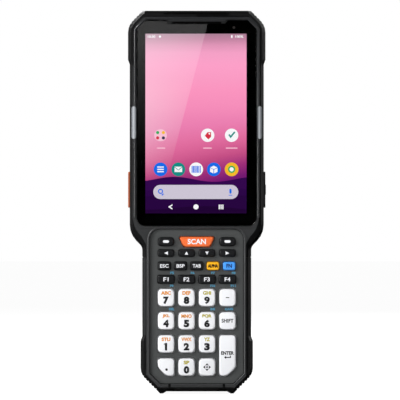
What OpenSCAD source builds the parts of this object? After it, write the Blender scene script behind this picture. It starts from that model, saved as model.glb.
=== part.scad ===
// Rugged handheld computer: a touch screen over a keypad grip, with a barcode reader in its top end.
// X runs across, Y through the depth with the screen facing -Y, and Z up. The feet stand on Z = 0.

/* [Screen] */
// Width of the lit area
screen_w = 53.6; // [46:0.1:60]
// Height of the lit area
screen_h = 94.8; // [85:0.1:110]
// Black border of the glass beside the lit area
border_side = 4.3; // [3:0.1:6]
// Black border above the lit area
border_top = 6.3; // [5.5:0.1:8]
// Black border below the lit area
border_low = 6; // [4:0.1:9]
// Thickness of the cover glass
glass_t = 1.1; // [0.8:0.1:1.4]
// Cut across the upper corners of the glass
glass_cut = 5.1; // [3:0.1:7]
// Radius of the lower corners of the glass
glass_round = 4.2; // [2:0.1:6]
// Gap between the glass and the housing round it
glass_gap = 0.5; // [0.3:0.05:0.7]
// Margin of the display panel round the lit area
panel_margin = 1.5; // [1:0.1:2]
// Thickness of the display panel
display_t = 2.2; // [1.6:0.1:3]

/* [Keypad] */
// Width of a number key
key_w = 8.8; // [7.6:0.1:9.3]
// Height of a number key
key_h = 9.3; // [8:0.1:10.5]
// Distance between two columns of number keys
column_pitch = 10.7; // [10.4:0.1:12]
// Distance between two rows of number keys
row_pitch = 12.1; // [11:0.1:13.5]
// Corner cut of the point key and the enter key
key_cut = 4.5; // [3:0.1:5.5]
// Height of the F1 to F4 keys and of the keys above them
small_key_h = 4.4; // [3.8:0.1:5]
// Distance from the top number row to the row of F keys
f_row_step = 9.5; // [9:0.1:11]
// Distance from the row of F keys to the row of five keys
five_row_step = 7; // [6.6:0.1:8]
// Distance from the row of five keys to the arrow keys
arrow_row_step = 6.7; // [6.3:0.1:8]
// Distance from the arrow keys to the scan key
scan_row_step = 5.9; // [5.7:0.1:7]
// Width of the keys in the row of five
five_key_w = 6.6; // [5.6:0.1:7.2]
// Distance between two keys in the row of five
five_pitch = 8.45; // [8.3:0.05:9]
// Width of the scan key along its upper edge
scan_key_w = 19.6; // [17:0.1:21]
// Height of the scan key
scan_key_h = 5.4; // [4.6:0.1:5.8]
// Height of the arrow keys
arrow_key_h = 3.6; // [3:0.1:4.2]
// Gap between a key and its hole
key_gap = 0.2; // [0.1:0.05:0.3]
// Height of the key tops above the plate
key_rise = 1.3; // [0.9:0.1:1.8]
// Travel of a key
key_travel = 0.5; // [0.3:0.05:0.7]
// Plate left round the number keys
plate_margin = 3.9; // [3:0.1:5]
// Plate left above the centre of the scan key
plate_head = 6.5; // [5.5:0.1:8]
// Thickness of the keypad plate
plate_t = 1.2; // [0.9:0.1:1.6]
// Radius of the upper corners of the plate
plate_round = 5.2; // [3:0.1:7]
// Cut across the lower corners of the plate
plate_cut = 5.4; // [4:0.1:6]
// Groove round the plate
plate_gap = 0.7; // [0.4:0.05:0.9]

/* [Housing] */
// Overall depth
total_d = 30; // [29:0.5:34]
// Depth from the screen bezel to the joint between the covers
front_d = 13; // [12.6:0.1:13.6]
// Depth of the head below the reader
head_d = 26; // [25:0.1:27.5]
// Depth of the head at the camera
hump_d = 29; // [28:0.1:29]
// Wall of the covers
wall = 2; // [1.6:0.1:2.3]
// Width of the raised ridge round the screen and the keypad
ridge_w = 1.3; // [1:0.1:1.6]
// Height of the screen bezel above the front cover
bezel_rise = 0.8; // [0.5:0.1:1.1]
// Flat strip outside the ridge
rim_w = 0.5; // [0.4:0.05:0.8]
// Width of the bevelled band along the sides
band_w = 1.6; // [1.2:0.1:2.2]
// Depth of the bevelled band
band_d = 3; // [2.4:0.1:3.6]
// Radius of the shoulders below the head
shoulder_r = 12; // [10:0.5:13]
// Radius where the shoulders meet the grip
throat_r = 4; // [3:0.5:5.5]
// Strip between the keypad plate and the glass
neck_h = 1.9; // [1.4:0.1:2.5]
// Strip between the keypad plate and the bottom guard
chin_h = 2.3; // [2:0.1:3]
// Height of the housing above the glass
crown_h = 5.1; // [4.8:0.1:6]
// Radius of the grip's back edges
grip_round = 10; // [8:0.5:11]
// Radius of the head's back edges
head_round = 7; // [5:0.5:8]
// Thickness of the gasket between the covers
gasket_t = 0.6; // [0.4:0.1:0.8]

/* [Guards] */
// Thickness of the guards
guard_t = 1.9; // [1.6:0.1:2.3]
// How far the guards stand out past the housing
guard_lip = 0.9; // [0.6:0.05:1.1]
// Height of the top guard
top_guard_h = 28.5; // [25:0.5:31]
// Height of the bottom guard
bottom_guard_h = 30.5; // [28:0.5:34]
// Corner radius of the top guard
top_corner_r = 9; // [7:0.5:11]
// Corner radius of the bottom guard
bottom_corner_r = 8; // [7:0.5:10]
// Width of the cut across the top corners
top_cut = 6.7; // [5.5:0.1:8.5]
// Height of the feet
foot_h = 1.15; // [0.8:0.05:1.6]
// Width of a foot on the ground
foot_w = 1.5; // [1:0.1:2.5]
// Width of the cut across the bottom corners, down to a foot
foot_cut = 9.25; // [8:0.05:10.5]

/* [Side buttons] */
// Length of the side buttons
side_len = 18.8; // [15:0.1:20]
// Width of the side buttons
side_w = 5; // [4:0.1:5.6]
// Height of the side buttons above the lower edge of the glass
side_rise_z = 18.8; // [17.5:0.1:21]
// How far the side buttons stand out
side_out = 0.9; // [0.8:0.05:1.1]
// Travel of the side buttons
side_travel = 0.6; // [0.4:0.05:0.7]

/* [Battery] */
// Width of the battery bay
bay_w = 45; // [40:0.5:46]
// Height of the battery bay
bay_h = 83; // [76:0.5:84]
// Clearance between the main board and the battery bay
bay_clear = 0.8; // [0.5:0.1:1.5]
// Clearance round the battery pack
pack_gap = 0.25; // [0.15:0.05:0.35]
// Width of the battery latch
latch_w = 15; // [12:0.5:18]
// Height of the battery latch
latch_h = 10; // [8:0.5:11]
// Travel of the battery latch
latch_travel = 2.2; // [1.8:0.1:2.4]
// Clearance round sliding pieces
slide_gap = 0.15; // [0.1:0.05:0.2]

/* [Fasteners and ports] */
// Radius of the housing screws
screw_r = 1; // [0.8:0.05:1.1]
// Radius of the screw bosses
boss_r = 2.6; // [2.4:0.1:3]
// Distance between the two threaded inserts in the back
insert_pitch = 30; // [26:0.5:36]
// Radius of the thread in an insert
insert_r = 1.25; // [1:0.05:1.5]
// Width of the scan window
window_w = 27; // [22:0.5:30]
// Depth of the scan window
window_d = 8; // [7:0.1:8.5]

/* [Hidden] */

// Colours
BLACK = "#1b1b1d";
DARK = "#262628";
GREY = "#4b4b4d";
WHITE = "#f2f3f5";

// Small constants
FAR = 60;          // reaches past every surface in the depth
SKIN = 0.01;       // thickness of a sheet that only guides a hull
draft = 0.4;       // slant of a step in the moulded housing
ARC_STEPS = 4;     // facets of a rounded back edge
CORNER_STEPS = 3;  // facets of 45 degrees of the outline
DIAG = sqrt(2);

// Glass
glass_w = screen_w + 2 * border_side;
glass_h = screen_h + border_top + border_low;

// Heights, from the feet up
core_z = foot_h + guard_t;
plate_z = core_z + chin_h;
row_z = plate_z + plate_margin + key_h / 2;
top_row_z = row_z + 3 * row_pitch;
f_row_z = top_row_z + f_row_step;
five_row_z = f_row_z + five_row_step;
arrow_row_z = five_row_z + arrow_row_step;
scan_row_z = arrow_row_z + scan_row_step;
plate_top_z = scan_row_z + plate_head;
glass_z = plate_top_z + neck_h;
glass_top_z = glass_z + glass_h;
total_h = glass_top_z + crown_h;
core_top_z = total_h - guard_t;
top_guard_z = total_h - top_guard_h;
shoulder_rise = 0.5;
shoulder_z = glass_z + shoulder_rise;
side_z = glass_z + side_rise_z;
screen_z = glass_z + border_low;

// Half widths
plate_half = 1.5 * column_pitch + key_w / 2 + plate_margin;
edge_w = ridge_w + rim_w + band_w;
head_half = glass_w / 2 + glass_gap + edge_w;
grip_half = plate_half + plate_gap + edge_w;
top_flat = head_half - top_cut;
foot_x = grip_half - foot_cut;

// Depths, from the bezel back
crest_y = -total_d / 2;
back_y = total_d / 2;
rim_y = crest_y + bezel_rise;
glass_y = crest_y + 0.5;
glass_back_y = glass_y + glass_t;
bezel_t = 2;
panel_gap = 0.3;
grip_rim_y = rim_y + 0.3;
plate_y = grip_rim_y + 0.7;
plate_back_y = plate_y + plate_t;
key_top_y = plate_y - key_rise;
seam_y = crest_y + front_d;
head_back_y = crest_y + head_d;
hump_back_y = crest_y + hump_d;
tail_back_y = head_back_y;

// Keys
flange_w = 0.5;
flange_t = 0.6;
stem_t = 0.4;
stem_r = 1.4;
scan_slope = 0.55;
nub_t = 0.5;
nub_r = 1.6;
mat_t = 0.6;
dome_r = 2;
dome_t = 0.15;
press_gap = 0.1;
key_bevel = 0.45;
stem_y = plate_back_y + flange_t + stem_t;
nub_y = stem_y + key_travel + press_gap;
mat_y = nub_y + nub_t;
pad_board_y = mat_y + mat_t;
board_t = 1.2;
pad_ledge = 1.3;
plug_w = 18;
plug_h = 4;
plug_t = 1.6;
soft_key_w = 8.3;
arrow_key_w = 8.4;

// Guards and covers
ridge_rise = 0.3;
break_x = 14.2;
break_w = 1.2;
rib_bar_half = 11.5;
core_inset = guard_t - guard_lip;
cavity_inset = core_inset + wall;
guard_ramp = 3;
end_bevel = 1.6;
crown_fall = top_cut + guard_lip + top_corner_r * (DIAG - 1) + 2.7;
proud = 0.15;

// Side buttons
side_in = head_half - cavity_inset;
side_stem_l = 1.3;
side_stem_r = 1.2;
side_flange_t = 0.9;
side_flange_w = 0.6;
side_flange_gap = 0.1;
side_stem_x = side_in - side_flange_t - side_stem_l;
side_y = seam_y - 4.2;
step_half = 2.6;
step_margin = 0.6;
step_rise = 0.25;

// Battery bay
bay_z = 14;
bay_top_z = bay_z + bay_h;
bay_wall = 1.6;
bay_y = seam_y + board_t / 2 + bay_clear + bay_wall;
latch_y = head_back_y - 4.2;
latch_foot_t = 1.6;
latch_foot_w = 1.6;
latch_pocket_h = latch_h + latch_travel + 2.4;
latch_z = bay_top_z + 0.6;
tongue_l = 1.9;
tongue_w = 9;
tongue_y = latch_y + 0.5;
tongue_t = 1.6;
LATCH_RIBS = 4;
latch_rib_w = 0.8;
latch_rib_pitch = 1.8;
latch_rib_rise = 0.5;
latch_rib_edge = 2;
spring_r = 1.3;
spring_wire = 0.22;
spring_back = 2.2;
SPRING_TURNS = 4;

pack_groove_w = 1.2;
pack_groove_d = 0.5;
pack_groove_half = 13;
PACK_GROOVES = [for (i = [0:4]) bay_top_z - 12 - 2.8 * i];
label_w = 31;
label_h = 34;
label_d = 0.3;
label_z = bay_z + 0.37 * bay_h;

// Screws and inserts
boss_bite = 0.8;
ear_r = boss_r - boss_bite - 0.1;
screw_x = head_half - cavity_inset - boss_r + boss_bite;
ramp_z = bay_top_z + latch_pocket_h + 2;
ramp_l = 16;
bezel_foot = 4.2;
bezel_split = 0.4;
SCREW_Z = [glass_z + bezel_foot, ramp_z + 0.65 * ramp_l, top_guard_z - 6.5];
screw_seat_y = head_back_y - 4;
screw_head_r = 2.1;
screw_head_t = 1.4;
screw_tip_y = seam_y - 5;
insert_z = ramp_z + ramp_l + 8.3;
insert_l = 6;
insert_wall = 1;
insert_floor = 0.6;
insert_sink = 0.2;
seat_wall = 1.4;

// Back of the head
camera_drop = 10.5;
camera_z = top_guard_z - camera_drop;
camera_plate_w = 17;
camera_plate_h = 10;
camera_plate_t = 1;
camera_plate_r = 2.4;
lens_r = 3;
lens_x = -3;
lens_gap = 0.2;
camera_wall = 1.5;
camera_air = 3;
flash_r = 1.3;
flash_x = 4.6;
flash_t = 2;
speaker_step = 8.6;
speaker_x = screw_x - boss_r - speaker_step;
speaker_w = 11;
speaker_h = 9;
speaker_t = 4;
speaker_foot = 2;
slot_w = 1;
slot_pitch = 2.2;
window_y = seam_y + 5.5;
window_t = 1.4;
window_gap = 0.4;
window_ledge_w = 1.5;
window_ledge_d = 1.2;

// Scan engine
engine_half = 11;
engine_h = 13;
engine_d = 9;
engine_gap = 0.6;
engine_lens_r = 2.6;
engine_lens_d = 2;

// Bottom end
port_y = seam_y + 6.2;
port_w = 9;
port_h = 3.2;
port_l = 6;
port_room = 4.6;
port_wall = 0.4;
port_lip = 1;
flap_w = 22;
flap_d = 8.6;
flap_y = port_y - flap_d / 2 - 0.6;
flap_t = guard_t;
flap_gap = 0.2;
flap_back_room = 1.6;
flap_plug = 0.5;
hinge_r = 0.65;
contact_y = seam_y - 4.5;
contact_pitch = 3;
contact_r = 0.75;

// Earpiece
lip_half = 14.5;
lip_slope = 2.6;
ear_slot_h = 1;
ear_slot_half = lip_half - 1.6;
ear_slot_z = glass_top_z - 1.6;
ear_mesh_gap = 0.1;
capsule_half = 6.5;
capsule_t = 3;
capsule_low = 1.8;
capsule_high = 1.6;

// Light guides
led_rise = 53.8;
led_z = glass_z + led_rise;
led_h = 16.9;
led_w = 2.6;
led_gap = 0.12;

// Main board
board_foot = 1.1;
board_top_gap = 3;
memory_z = glass_z + 29.6;
memory_w = 14;
memory_h = 16;
memory_t = 1.2;
radio_z = glass_z + 61.6;
radio_w = 24;
radio_h = 22;
radio_t = 1.6;
chip_margin = 2;
switch_w = 3;
switch_front = 1;
switch_gap = 0.2;

// Split lines across the sides of the grip
split_w = 0.4;
split_d = 0.35;
GRIP_SPLITS = [row_z + 8.2, arrow_row_z - 2.2];

// Feet, set back from the front and from the back
foot_front = 4;
foot_back = 3;
foot_slope = 2;
foot_bite = 0.6;

// Ribs on the corners of the guards
rib_w = 0.7;
rib_pitch = 1.9;
rib_cut = 0.45;
TOP_RIBS = 4;
BOTTOM_RIBS = 7;
rib_low_y = rim_y + 2.4;
rib_high_y = back_y - head_round - 1;
top_rib_z = total_h - top_cut * 0.62;
low_rib_z = foot_h + foot_cut * 0.55;

// ---------- outlines ----------

function lerp(a, b, t) = a + (b - a) * t;

// Smooth step from 0 to 1
function ease(t) = let (u = max(0, min(1, t))) u * u * (3 - 2 * u);

// Right side of the housing's outline as [height, half width] pairs, drawn inwards by t from the skin
function outline(t) =
    let (
        in = guard_lip + t,
        cut = in * DIAG,
        z0 = foot_h + in,
        z1 = total_h - in,
        guard_grip = grip_half + guard_lip,
        guard_head = head_half + guard_lip,
        bx = guard_grip - bottom_corner_r,
        bz = bx - foot_x + bottom_corner_r * DIAG,
        br = bottom_corner_r - in,
        tx = guard_head - top_corner_r,
        tz = total_h + top_flat - top_corner_r * DIAG - tx,
        tr = top_corner_r - in,
        step = head_half - grip_half,
        rise = (shoulder_r + throat_r) * sin(45) + step - (shoulder_r + throat_r) * (1 - cos(45)),
        throat_z = shoulder_z - rise,
        arc = [for (i = [0:CORNER_STEPS]) 45 * i / CORNER_STEPS],
        last = CORNER_STEPS,
        levels = concat([for (i = [0:3]) ramp_z + ramp_l * i / 3], total_h - crown_fall)
    )
    concat(
        [[z0, foot_x + z0 - cut]],
        [for (i = [last:-1:0]) [bz - br * sin(arc[i]), bx + br * cos(arc[i])]],
        [for (i = [1:4]) [lerp(bz, throat_z, i / 5), grip_half - t]],
        [for (a = arc) [
            throat_z + (throat_r + t) * sin(a),
            grip_half + throat_r - (throat_r + t) * cos(a)]],
        [for (i = [last:-1:0]) [
            shoulder_z - (shoulder_r - t) * sin(arc[i]),
            head_half - shoulder_r + (shoulder_r - t) * cos(arc[i])]],
        [for (z = levels) [z, head_half - t]],
        [for (a = arc) [tz + tr * sin(a), tx + tr * cos(a)]],
        [[z1, total_h + top_flat - z1 - cut]]
    );

function half_w(z, t) = lookup(z, outline(t));

// The part of an outline between two heights
function between(list, z0, z1) = concat(
    [[z0, lookup(z0, list)]],
    [for (p = list) if (p[0] > z0 + 0.2 && p[0] < z1 - 0.2) p],
    [[z1, lookup(z1, list)]]
);

// Front and back of the housing at height z
function front_at(z) = lerp(grip_rim_y, rim_y, ease((z - plate_top_z + 8) / 10));
function back_at(z) =
    tail_back_y
    + (back_y - tail_back_y) * ease(z / 34) * (1 - ease((z - 0.62 * bay_top_z) / (0.36 * bay_top_z)))
    + (hump_back_y - head_back_y) * ease((z - ramp_z) / ramp_l)
    - 2 * ease((z - total_h + crown_fall) / crown_fall);
function round_at(z) = lerp(grip_round, head_round, ease((z - plate_top_z + 8) / 10));

// One ring of the housing: flat front, bevelled bands, straight sides and round back edges
function section(z, w, front, back, band, bevel, r) = concat(
    [[-(w - band), front, z], [w - band, front, z], [w, front + bevel, z]],
    [for (i = [0:ARC_STEPS]) let (a = 90 * i / ARC_STEPS) [w - r + r * cos(a), back - r + r * sin(a), z]],
    [for (i = [0:ARC_STEPS]) let (a = 90 * i / ARC_STEPS) [r - w - r * sin(a), back - r + r * cos(a), z]],
    [[-w, front + bevel, z]]
);

// How much wider a band looks where the outline slants
function slant(list, z) = min(DIAG, norm([1, (lookup(z + 0.3, list) - lookup(z - 0.3, list)) / 0.6]));

// Rings of the housing between two heights, drawn inwards by t, with the front moved back by d
function rings(z0, z1, t, d) =
    let (list = outline(t), band = band_w - (t > 0 && d == 0 ? core_inset - 0.2 : 0))
    [for (p = between(list, z0, z1)) section(
        p[0], p[1], front_at(p[0]) + d, back_at(p[0]) - t,
        band * slant(list, p[0]), band_d, round_at(p[0]) - t)];

// Solid through a stack of rings that have the same number of points
module loft(stack) {
    n = len(stack[0]);
    m = len(stack);
    polyhedron(
        points = [for (ring = stack) each ring],
        faces = concat(
            [[for (i = [0:n - 1]) i]],
            [for (j = [0:m - 2], i = [0:n - 1], half = [0, 1])
                let (a = j * n + i, b = j * n + (i + 1) % n)
                half == 0 ? [a, a + n, b + n] : [a, b + n, b]],
            [[for (i = [n - 1:-1:0]) (m - 1) * n + i]]
        ),
        convexity = 6
    );
}

// Extrudes an outline drawn in X and Z from depth y0 to depth y1
module slab(y0, y1) {
    translate([0, y1, 0])
    rotate([90, 0, 0])
    linear_extrude(y1 - y0)
    children();
}

// Box between two corners
module box(a, b) {
    translate(a)
    cube(b - a);
}

// Straight pin along Y from y0 to y1
module pin_y(x, z, y0, y1, r) {
    translate([x, y1, z])
    rotate([90, 0, 0])
    cylinder(h = y1 - y0, r = r, $fn = 32);
}

// Rounds the corners of an outline
module rounded(r) {
    offset(r = r, $fn = 24)
    offset(delta = -r)
    children();
}

module rounded_square(w, h, r) {
    rounded(r)
    square([w, h], center = true);
}

// Outline of the cover glass
module glass_outline() {
    w = glass_w / 2;
    intersection() {
        translate([0, glass_z + glass_h])
        rounded_square(glass_w, 2 * glass_h, glass_round);
        polygon([
            [-w, glass_z], [w, glass_z], [w, glass_top_z - glass_cut], [w - glass_cut, glass_top_z],
            [glass_cut - w, glass_top_z], [-w, glass_top_z - glass_cut]
        ]);
    }
}

// Outline of the keypad plate
module plate_outline() {
    w = plate_half;
    intersection() {
        rounded_square(2 * w, 2 * plate_top_z, plate_round);
        polygon([
            [plate_cut - w, plate_z], [w - plate_cut, plate_z], [w, plate_z + plate_cut],
            [w, plate_top_z], [-w, plate_top_z], [-w, plate_z + plate_cut]
        ]);
    }
}

// Outline of the ridge round the keypad plate
module ridge_outline(gap) {
    offset(delta = plate_gap + ridge_w + gap)
    plate_outline();
}

// Outline of the whole housing seen from the front, drawn inwards by t
module housing_outline(t) {
    side = outline(t);
    last = len(side) - 1;
    polygon(concat(
        [for (p = side) [p[1], p[0]]],
        [for (i = [last:-1:0]) [-side[i][1], side[i][0]]]
    ));
}

// ---------- forms that several pieces share ----------

// Housing before it is split: skin in the middle and a smaller core under each guard
module housing() {
    loft(concat(
        rings(core_z, bottom_guard_h - draft, core_inset, 0),
        rings(bottom_guard_h, top_guard_z, 0, 0),
        rings(top_guard_z + draft, core_top_z, core_inset, 0)
    ));
}

// Hollow inside the covers
module cavity() {
    loft(rings(core_z + wall, core_top_z - wall, cavity_inset, wall));
}

module screw_places() {
    for (z = SCREW_Z, side = [-1, 1])
        translate([side * screw_x, 0, z])
        children();
}

module insert_places() {
    for (side = [-1, 1])
        translate([side * insert_pitch / 2, 0, insert_z])
        children();
}

// ---------- keys ----------

// Position of a column of number keys and of one of the row of five
function column_x(i) = (i - 1.5) * column_pitch;
function five_x(i) = (i - 2) * five_pitch;
function number_row_z(j) = row_z + j * row_pitch;

// Name, position and kind of every key
KEYS = [
    ["key_soft_left", column_x(0), scan_row_z, "soft"],
    ["key_scan", 0, scan_row_z, "scan"],
    ["key_soft_right", column_x(3), scan_row_z, "soft"],
    ["key_left", column_x(0), arrow_row_z, "arrow"],
    ["key_up", column_x(1), arrow_row_z, "arrow"],
    ["key_down", column_x(2), arrow_row_z, "arrow"],
    ["key_right", column_x(3), arrow_row_z, "arrow"],
    ["key_esc", five_x(0), five_row_z, "five"],
    ["key_bsp", five_x(1), five_row_z, "five"],
    ["key_tab", five_x(2), five_row_z, "five"],
    ["key_alpha", five_x(3), five_row_z, "five"],
    ["key_fn", five_x(4), five_row_z, "five"],
    ["key_f1", column_x(0), f_row_z, "wide"],
    ["key_f2", column_x(1), f_row_z, "wide"],
    ["key_f3", column_x(2), f_row_z, "wide"],
    ["key_f4", column_x(3), f_row_z, "wide"],
    ["key_7", column_x(0), number_row_z(3), "number"],
    ["key_8", column_x(1), number_row_z(3), "number"],
    ["key_9", column_x(2), number_row_z(3), "number"],
    ["key_minus", column_x(3), number_row_z(3), "number"],
    ["key_4", column_x(0), number_row_z(2), "number"],
    ["key_5", column_x(1), number_row_z(2), "number"],
    ["key_6", column_x(2), number_row_z(2), "number"],
    ["key_shift", column_x(3), number_row_z(2), "number"],
    ["key_1", column_x(0), number_row_z(1), "number"],
    ["key_2", column_x(1), number_row_z(1), "number"],
    ["key_3", column_x(2), number_row_z(1), "number"],
    ["key_enter", column_x(3), number_row_z(0.5), "enter"],
    ["key_dot", column_x(0), number_row_z(0), "dot"],
    ["key_0", column_x(1), number_row_z(0), "number"],
    ["key_nav", column_x(2), number_row_z(0), "number"]
];

// Soft square with sides that bulge a little
function squircle(w, h) = [for (i = [0:27]) let (
    a = 360 * (i + 0.5) / 28, c = cos(a), s = sin(a), k = pow(pow(abs(c), 7) + pow(abs(s), 7), -1 / 7)
) [w / 2 * k * c, h / 2 * k * s]];

// Rectangle with one lower corner cut away, on the left or on the right
module cut_corner(w, h, cut, side) {
    rounded(1)
    intersection() {
        square([w, h], center = true);
        mirror([side > 0 ? 1 : 0, 0])
        polygon([
            [cut - w / 2, -h / 2], [w / 2, -h / 2], [w / 2, h / 2], [-w / 2, h / 2], [-w / 2, cut - h / 2]
        ]);
    }
}

module key_outline(kind) {
    if (kind == "number")
        polygon(squircle(key_w, key_h));
    else if (kind == "enter")
        cut_corner(key_w, key_h + row_pitch, key_cut, 1);
    else if (kind == "dot")
        cut_corner(key_w, key_h, key_cut, -1);
    else if (kind == "scan")
        rounded(0.8)
        polygon([
            [-scan_key_w / 2, scan_key_h / 2], [scan_key_w / 2, scan_key_h / 2],
            [scan_key_w / 2 - scan_key_h * scan_slope, -scan_key_h / 2],
            [scan_key_h * scan_slope - scan_key_w / 2, -scan_key_h / 2]
        ]);
    else if (kind == "arrow")
        rounded_square(arrow_key_w, arrow_key_h, 1);
    else if (kind == "soft")
        rounded_square(soft_key_w, small_key_h, 1.6);
    else if (kind == "five")
        rounded_square(five_key_w, small_key_h, 0.9);
    else
        rounded_square(key_w, small_key_h, 0.9);
}

// Key: crowned cap, flange that the plate holds back, and stem over its switch
module key(name, tint) {
    k = KEYS[search([name], KEYS)[0]];
    color(tint)
    translate([k[1], 0, k[2]]) {
        hull() {
            slab(key_top_y + key_bevel, plate_back_y + flange_t / 2)
            key_outline(k[3]);
            slab(key_top_y, key_top_y + SKIN)
            offset(delta = -key_bevel)
            key_outline(k[3]);
        }
        slab(plate_back_y, plate_back_y + flange_t)
        offset(delta = flange_w)
        key_outline(k[3]);
        pin_y(0, 0, plate_back_y + flange_t, stem_y, stem_r);
    }
}

// ---------- front ----------

module touch_glass() {
    color("#0c0c0e")
    slab(glass_y, glass_back_y)
    difference() {
        glass_outline();
        lip_outline(0.3, 1.3);
    }
}

// Lip over the earpiece, widened by side and lowered by drop
module lip_outline(side, drop) {
    w = lip_half + side;
    bottom = glass_top_z - 0.3 - drop;
    top = glass_top_z + glass_gap + ridge_w;
    polygon([[-w, bottom], [w, bottom], [w + lip_slope, top], [-w - lip_slope, top]]);
}

module bezel_outline() {
    difference() {
        offset(delta = glass_gap + ridge_w)
        glass_outline();
        offset(delta = glass_gap)
        glass_outline();
        translate([-FAR, 0])
        square([2 * FAR, glass_z + bezel_foot]);
    }
    lip_outline(0, 0);
}

module screen_bezel() {
    color(GREY)
    difference() {
        slab(crest_y, crest_y + bezel_t)
        bezel_outline();
        for (side = [-1, 1])
            led_guide(side, led_gap);
    }
}

module display_panel() {
    w = screen_w / 2 + panel_margin;
    color("#c05a9a")
    box([-w, glass_back_y, screen_z - panel_margin],
        [w, glass_back_y + display_t, screen_z + screen_h + panel_margin]);
}

// Pill that shows the state light at the side of the screen
module led_guide(side, gap) {
    x0 = glass_w / 2 + glass_gap;
    x1 = x0 + led_w;
    ridge_x = x0 + ridge_w;
    low_y = crest_y + bezel_t - 0.6;
    intersection() {
        translate([side * (x0 + led_w / 2), 0, led_z])
        slab(-FAR, 0)
        rounded_square(led_w + 2 * gap, led_h + 2 * gap, led_w / 2 - 0.1);
        translate([0, 0, led_z - led_h])
        linear_extrude(2 * led_h)
        mirror([side > 0 ? 0 : 1, 0])
        polygon([
            [x0 - 1, crest_y + 0.1 - gap], [ridge_x, crest_y + 0.1 - gap], [x1 + 1, rim_y + 1.6 - gap],
            [x1 + 1, rim_y + band_d], [ridge_x, rim_y + band_d], [ridge_x, low_y], [x0 - 1, low_y]
        ]);
    }
}

module led_guides() {
    color("#b9bcc2")
    for (side = [-1, 1])
        led_guide(side, 0);
}

// Earpiece: mesh in the slot above the glass and the capsule behind it
module receiver() {
    w = ear_slot_half - ear_mesh_gap;
    back = rim_y + wall;
    color("#303034") {
        box([-w, glass_back_y + ear_mesh_gap, ear_slot_z + ear_mesh_gap],
            [w, back, ear_slot_z + ear_slot_h - ear_mesh_gap]);
        box([-capsule_half, back, ear_slot_z - capsule_low],
            [capsule_half, back + capsule_t, ear_slot_z + capsule_high]);
    }
}

module keypad_plate() {
    color(GREY)
    slab(plate_y, plate_back_y)
    difference() {
        plate_outline();
        for (k = KEYS)
            translate([k[1], k[2]])
            offset(delta = key_gap)
            key_outline(k[3]);
    }
}

// Rubber sheet with a nub under each key and a hollow over each snap dome
module keypad_mat() {
    color("#5d6266")
    difference() {
        union() {
            slab(mat_y, pad_board_y)
            offset(delta = -pad_ledge - 0.4)
            plate_outline();
            for (k = KEYS)
                pin_y(k[1], k[2], nub_y, mat_y + SKIN, nub_r);
        }
        for (k = KEYS)
            pin_y(k[1], k[2], pad_board_y - dome_t - 0.1, pad_board_y + 1, dome_r + 0.3);
    }
}

module keypad_board() {
    color("#1f6b3a") {
        slab(pad_board_y, pad_board_y + board_t)
        offset(delta = -0.4)
        plate_outline();
        for (k = KEYS)
            pin_y(k[1], k[2], pad_board_y - dome_t, pad_board_y + SKIN, dome_r);
    }
    color("#d8d8d0")
    box([-plug_w / 2, pad_board_y + board_t, scan_row_z - plug_h],
        [plug_w / 2, pad_board_y + board_t + plug_t, scan_row_z]);
}

module side_outline(gap) {
    translate([side_y, 0])
    rounded_square(side_w + 2 * gap, side_len + 2 * gap, 1.2);
}

// Room for a side button through the side wall
module side_hole(side) {
    mirror([side > 0 ? 0 : 1, 0, 0])
    side_slice(side_in - 1, head_half + 2, slide_gap);
}

module front_cover() {
    color(DARK)
    difference() {
        union() {
            intersection() {
                housing();
                box([-FAR, -FAR, -1], [FAR, seam_y - gasket_t / 2, total_h + 1]);
            }
            slab(grip_rim_y - ridge_rise, grip_rim_y + 1)
            ridge_outline(0);
            slab(rim_y - ridge_rise, rim_y + 1)
            chin_outline();
        }
        grip_splits();
        ridge_breaks();
        difference() {
            cavity();
            slab(-FAR, pad_board_y)
            offset(delta = plate_gap + ridge_w)
            plate_outline();
            screw_places()
            pin_y(0, 0, screw_tip_y - 1.5, 0, boss_r);
        }
        slab(-FAR, plate_back_y)
        offset(delta = plate_gap)
        plate_outline();
        slab(-FAR, pad_board_y + 1)
        offset(delta = -pad_ledge)
        plate_outline();
        slab(-FAR, glass_back_y)
        offset(delta = glass_gap)
        glass_outline();
        slab(-FAR, crest_y + bezel_t)
        bezel_outline();
        display_hole();
        receiver_slot();
        for (side = [-1, 1]) {
            led_guide(side, 0);
            side_hole(side);
        }
        screw_places()
        pin_y(0, 0, screw_tip_y - 0.5, FAR, screw_r);
        board_room();
        contact_holes(contact_r + 0.05);
    }
}

// Ridge that goes on below the bezel, round the lower corners of the glass
module chin_outline() {
    intersection() {
        offset(delta = glass_gap + ridge_w)
        glass_outline();
        translate([-FAR, plate_top_z + plate_gap])
        square([2 * FAR, glass_z + bezel_foot - bezel_split - plate_top_z - plate_gap]);
    }
}

// Split lines between the side strips of the grip and the rest of the cover
module grip_splits() {
    for (z = GRIP_SPLITS)
        difference() {
            box([-FAR, -FAR, z - split_w / 2], [FAR, FAR, z + split_w / 2]);
            loft(rings(z - 1, z + 1, split_d, split_d));
        }
}

// Breaks in the ridge below the keypad plate
module ridge_breaks() {
    for (side = [-1, 1])
        translate([side * break_x, 0, 0])
        box([-break_w / 2, -FAR, core_z], [break_w / 2, grip_rim_y, plate_z - plate_gap]);
}

module display_hole() {
    margin = panel_margin + panel_gap;
    w = screen_w / 2 + margin;
    box([-w, -FAR, screen_z - margin], [w, rim_y + wall + 1, screen_z + screen_h + margin]);
}

module receiver_slot() {
    box([-ear_slot_half, -FAR, ear_slot_z], [ear_slot_half, rim_y + wall + 1, ear_slot_z + ear_slot_h]);
}

// Room for the main board between the bosses of the two covers
module board_room() {
    w = side_in + 0.05;
    box([-w, seam_y - board_t / 2, SCREW_Z[0] - boss_r - 0.4],
        [w, seam_y + board_t / 2, SCREW_Z[2] + boss_r + 0.4]);
}

// ---------- inside ----------

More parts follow.
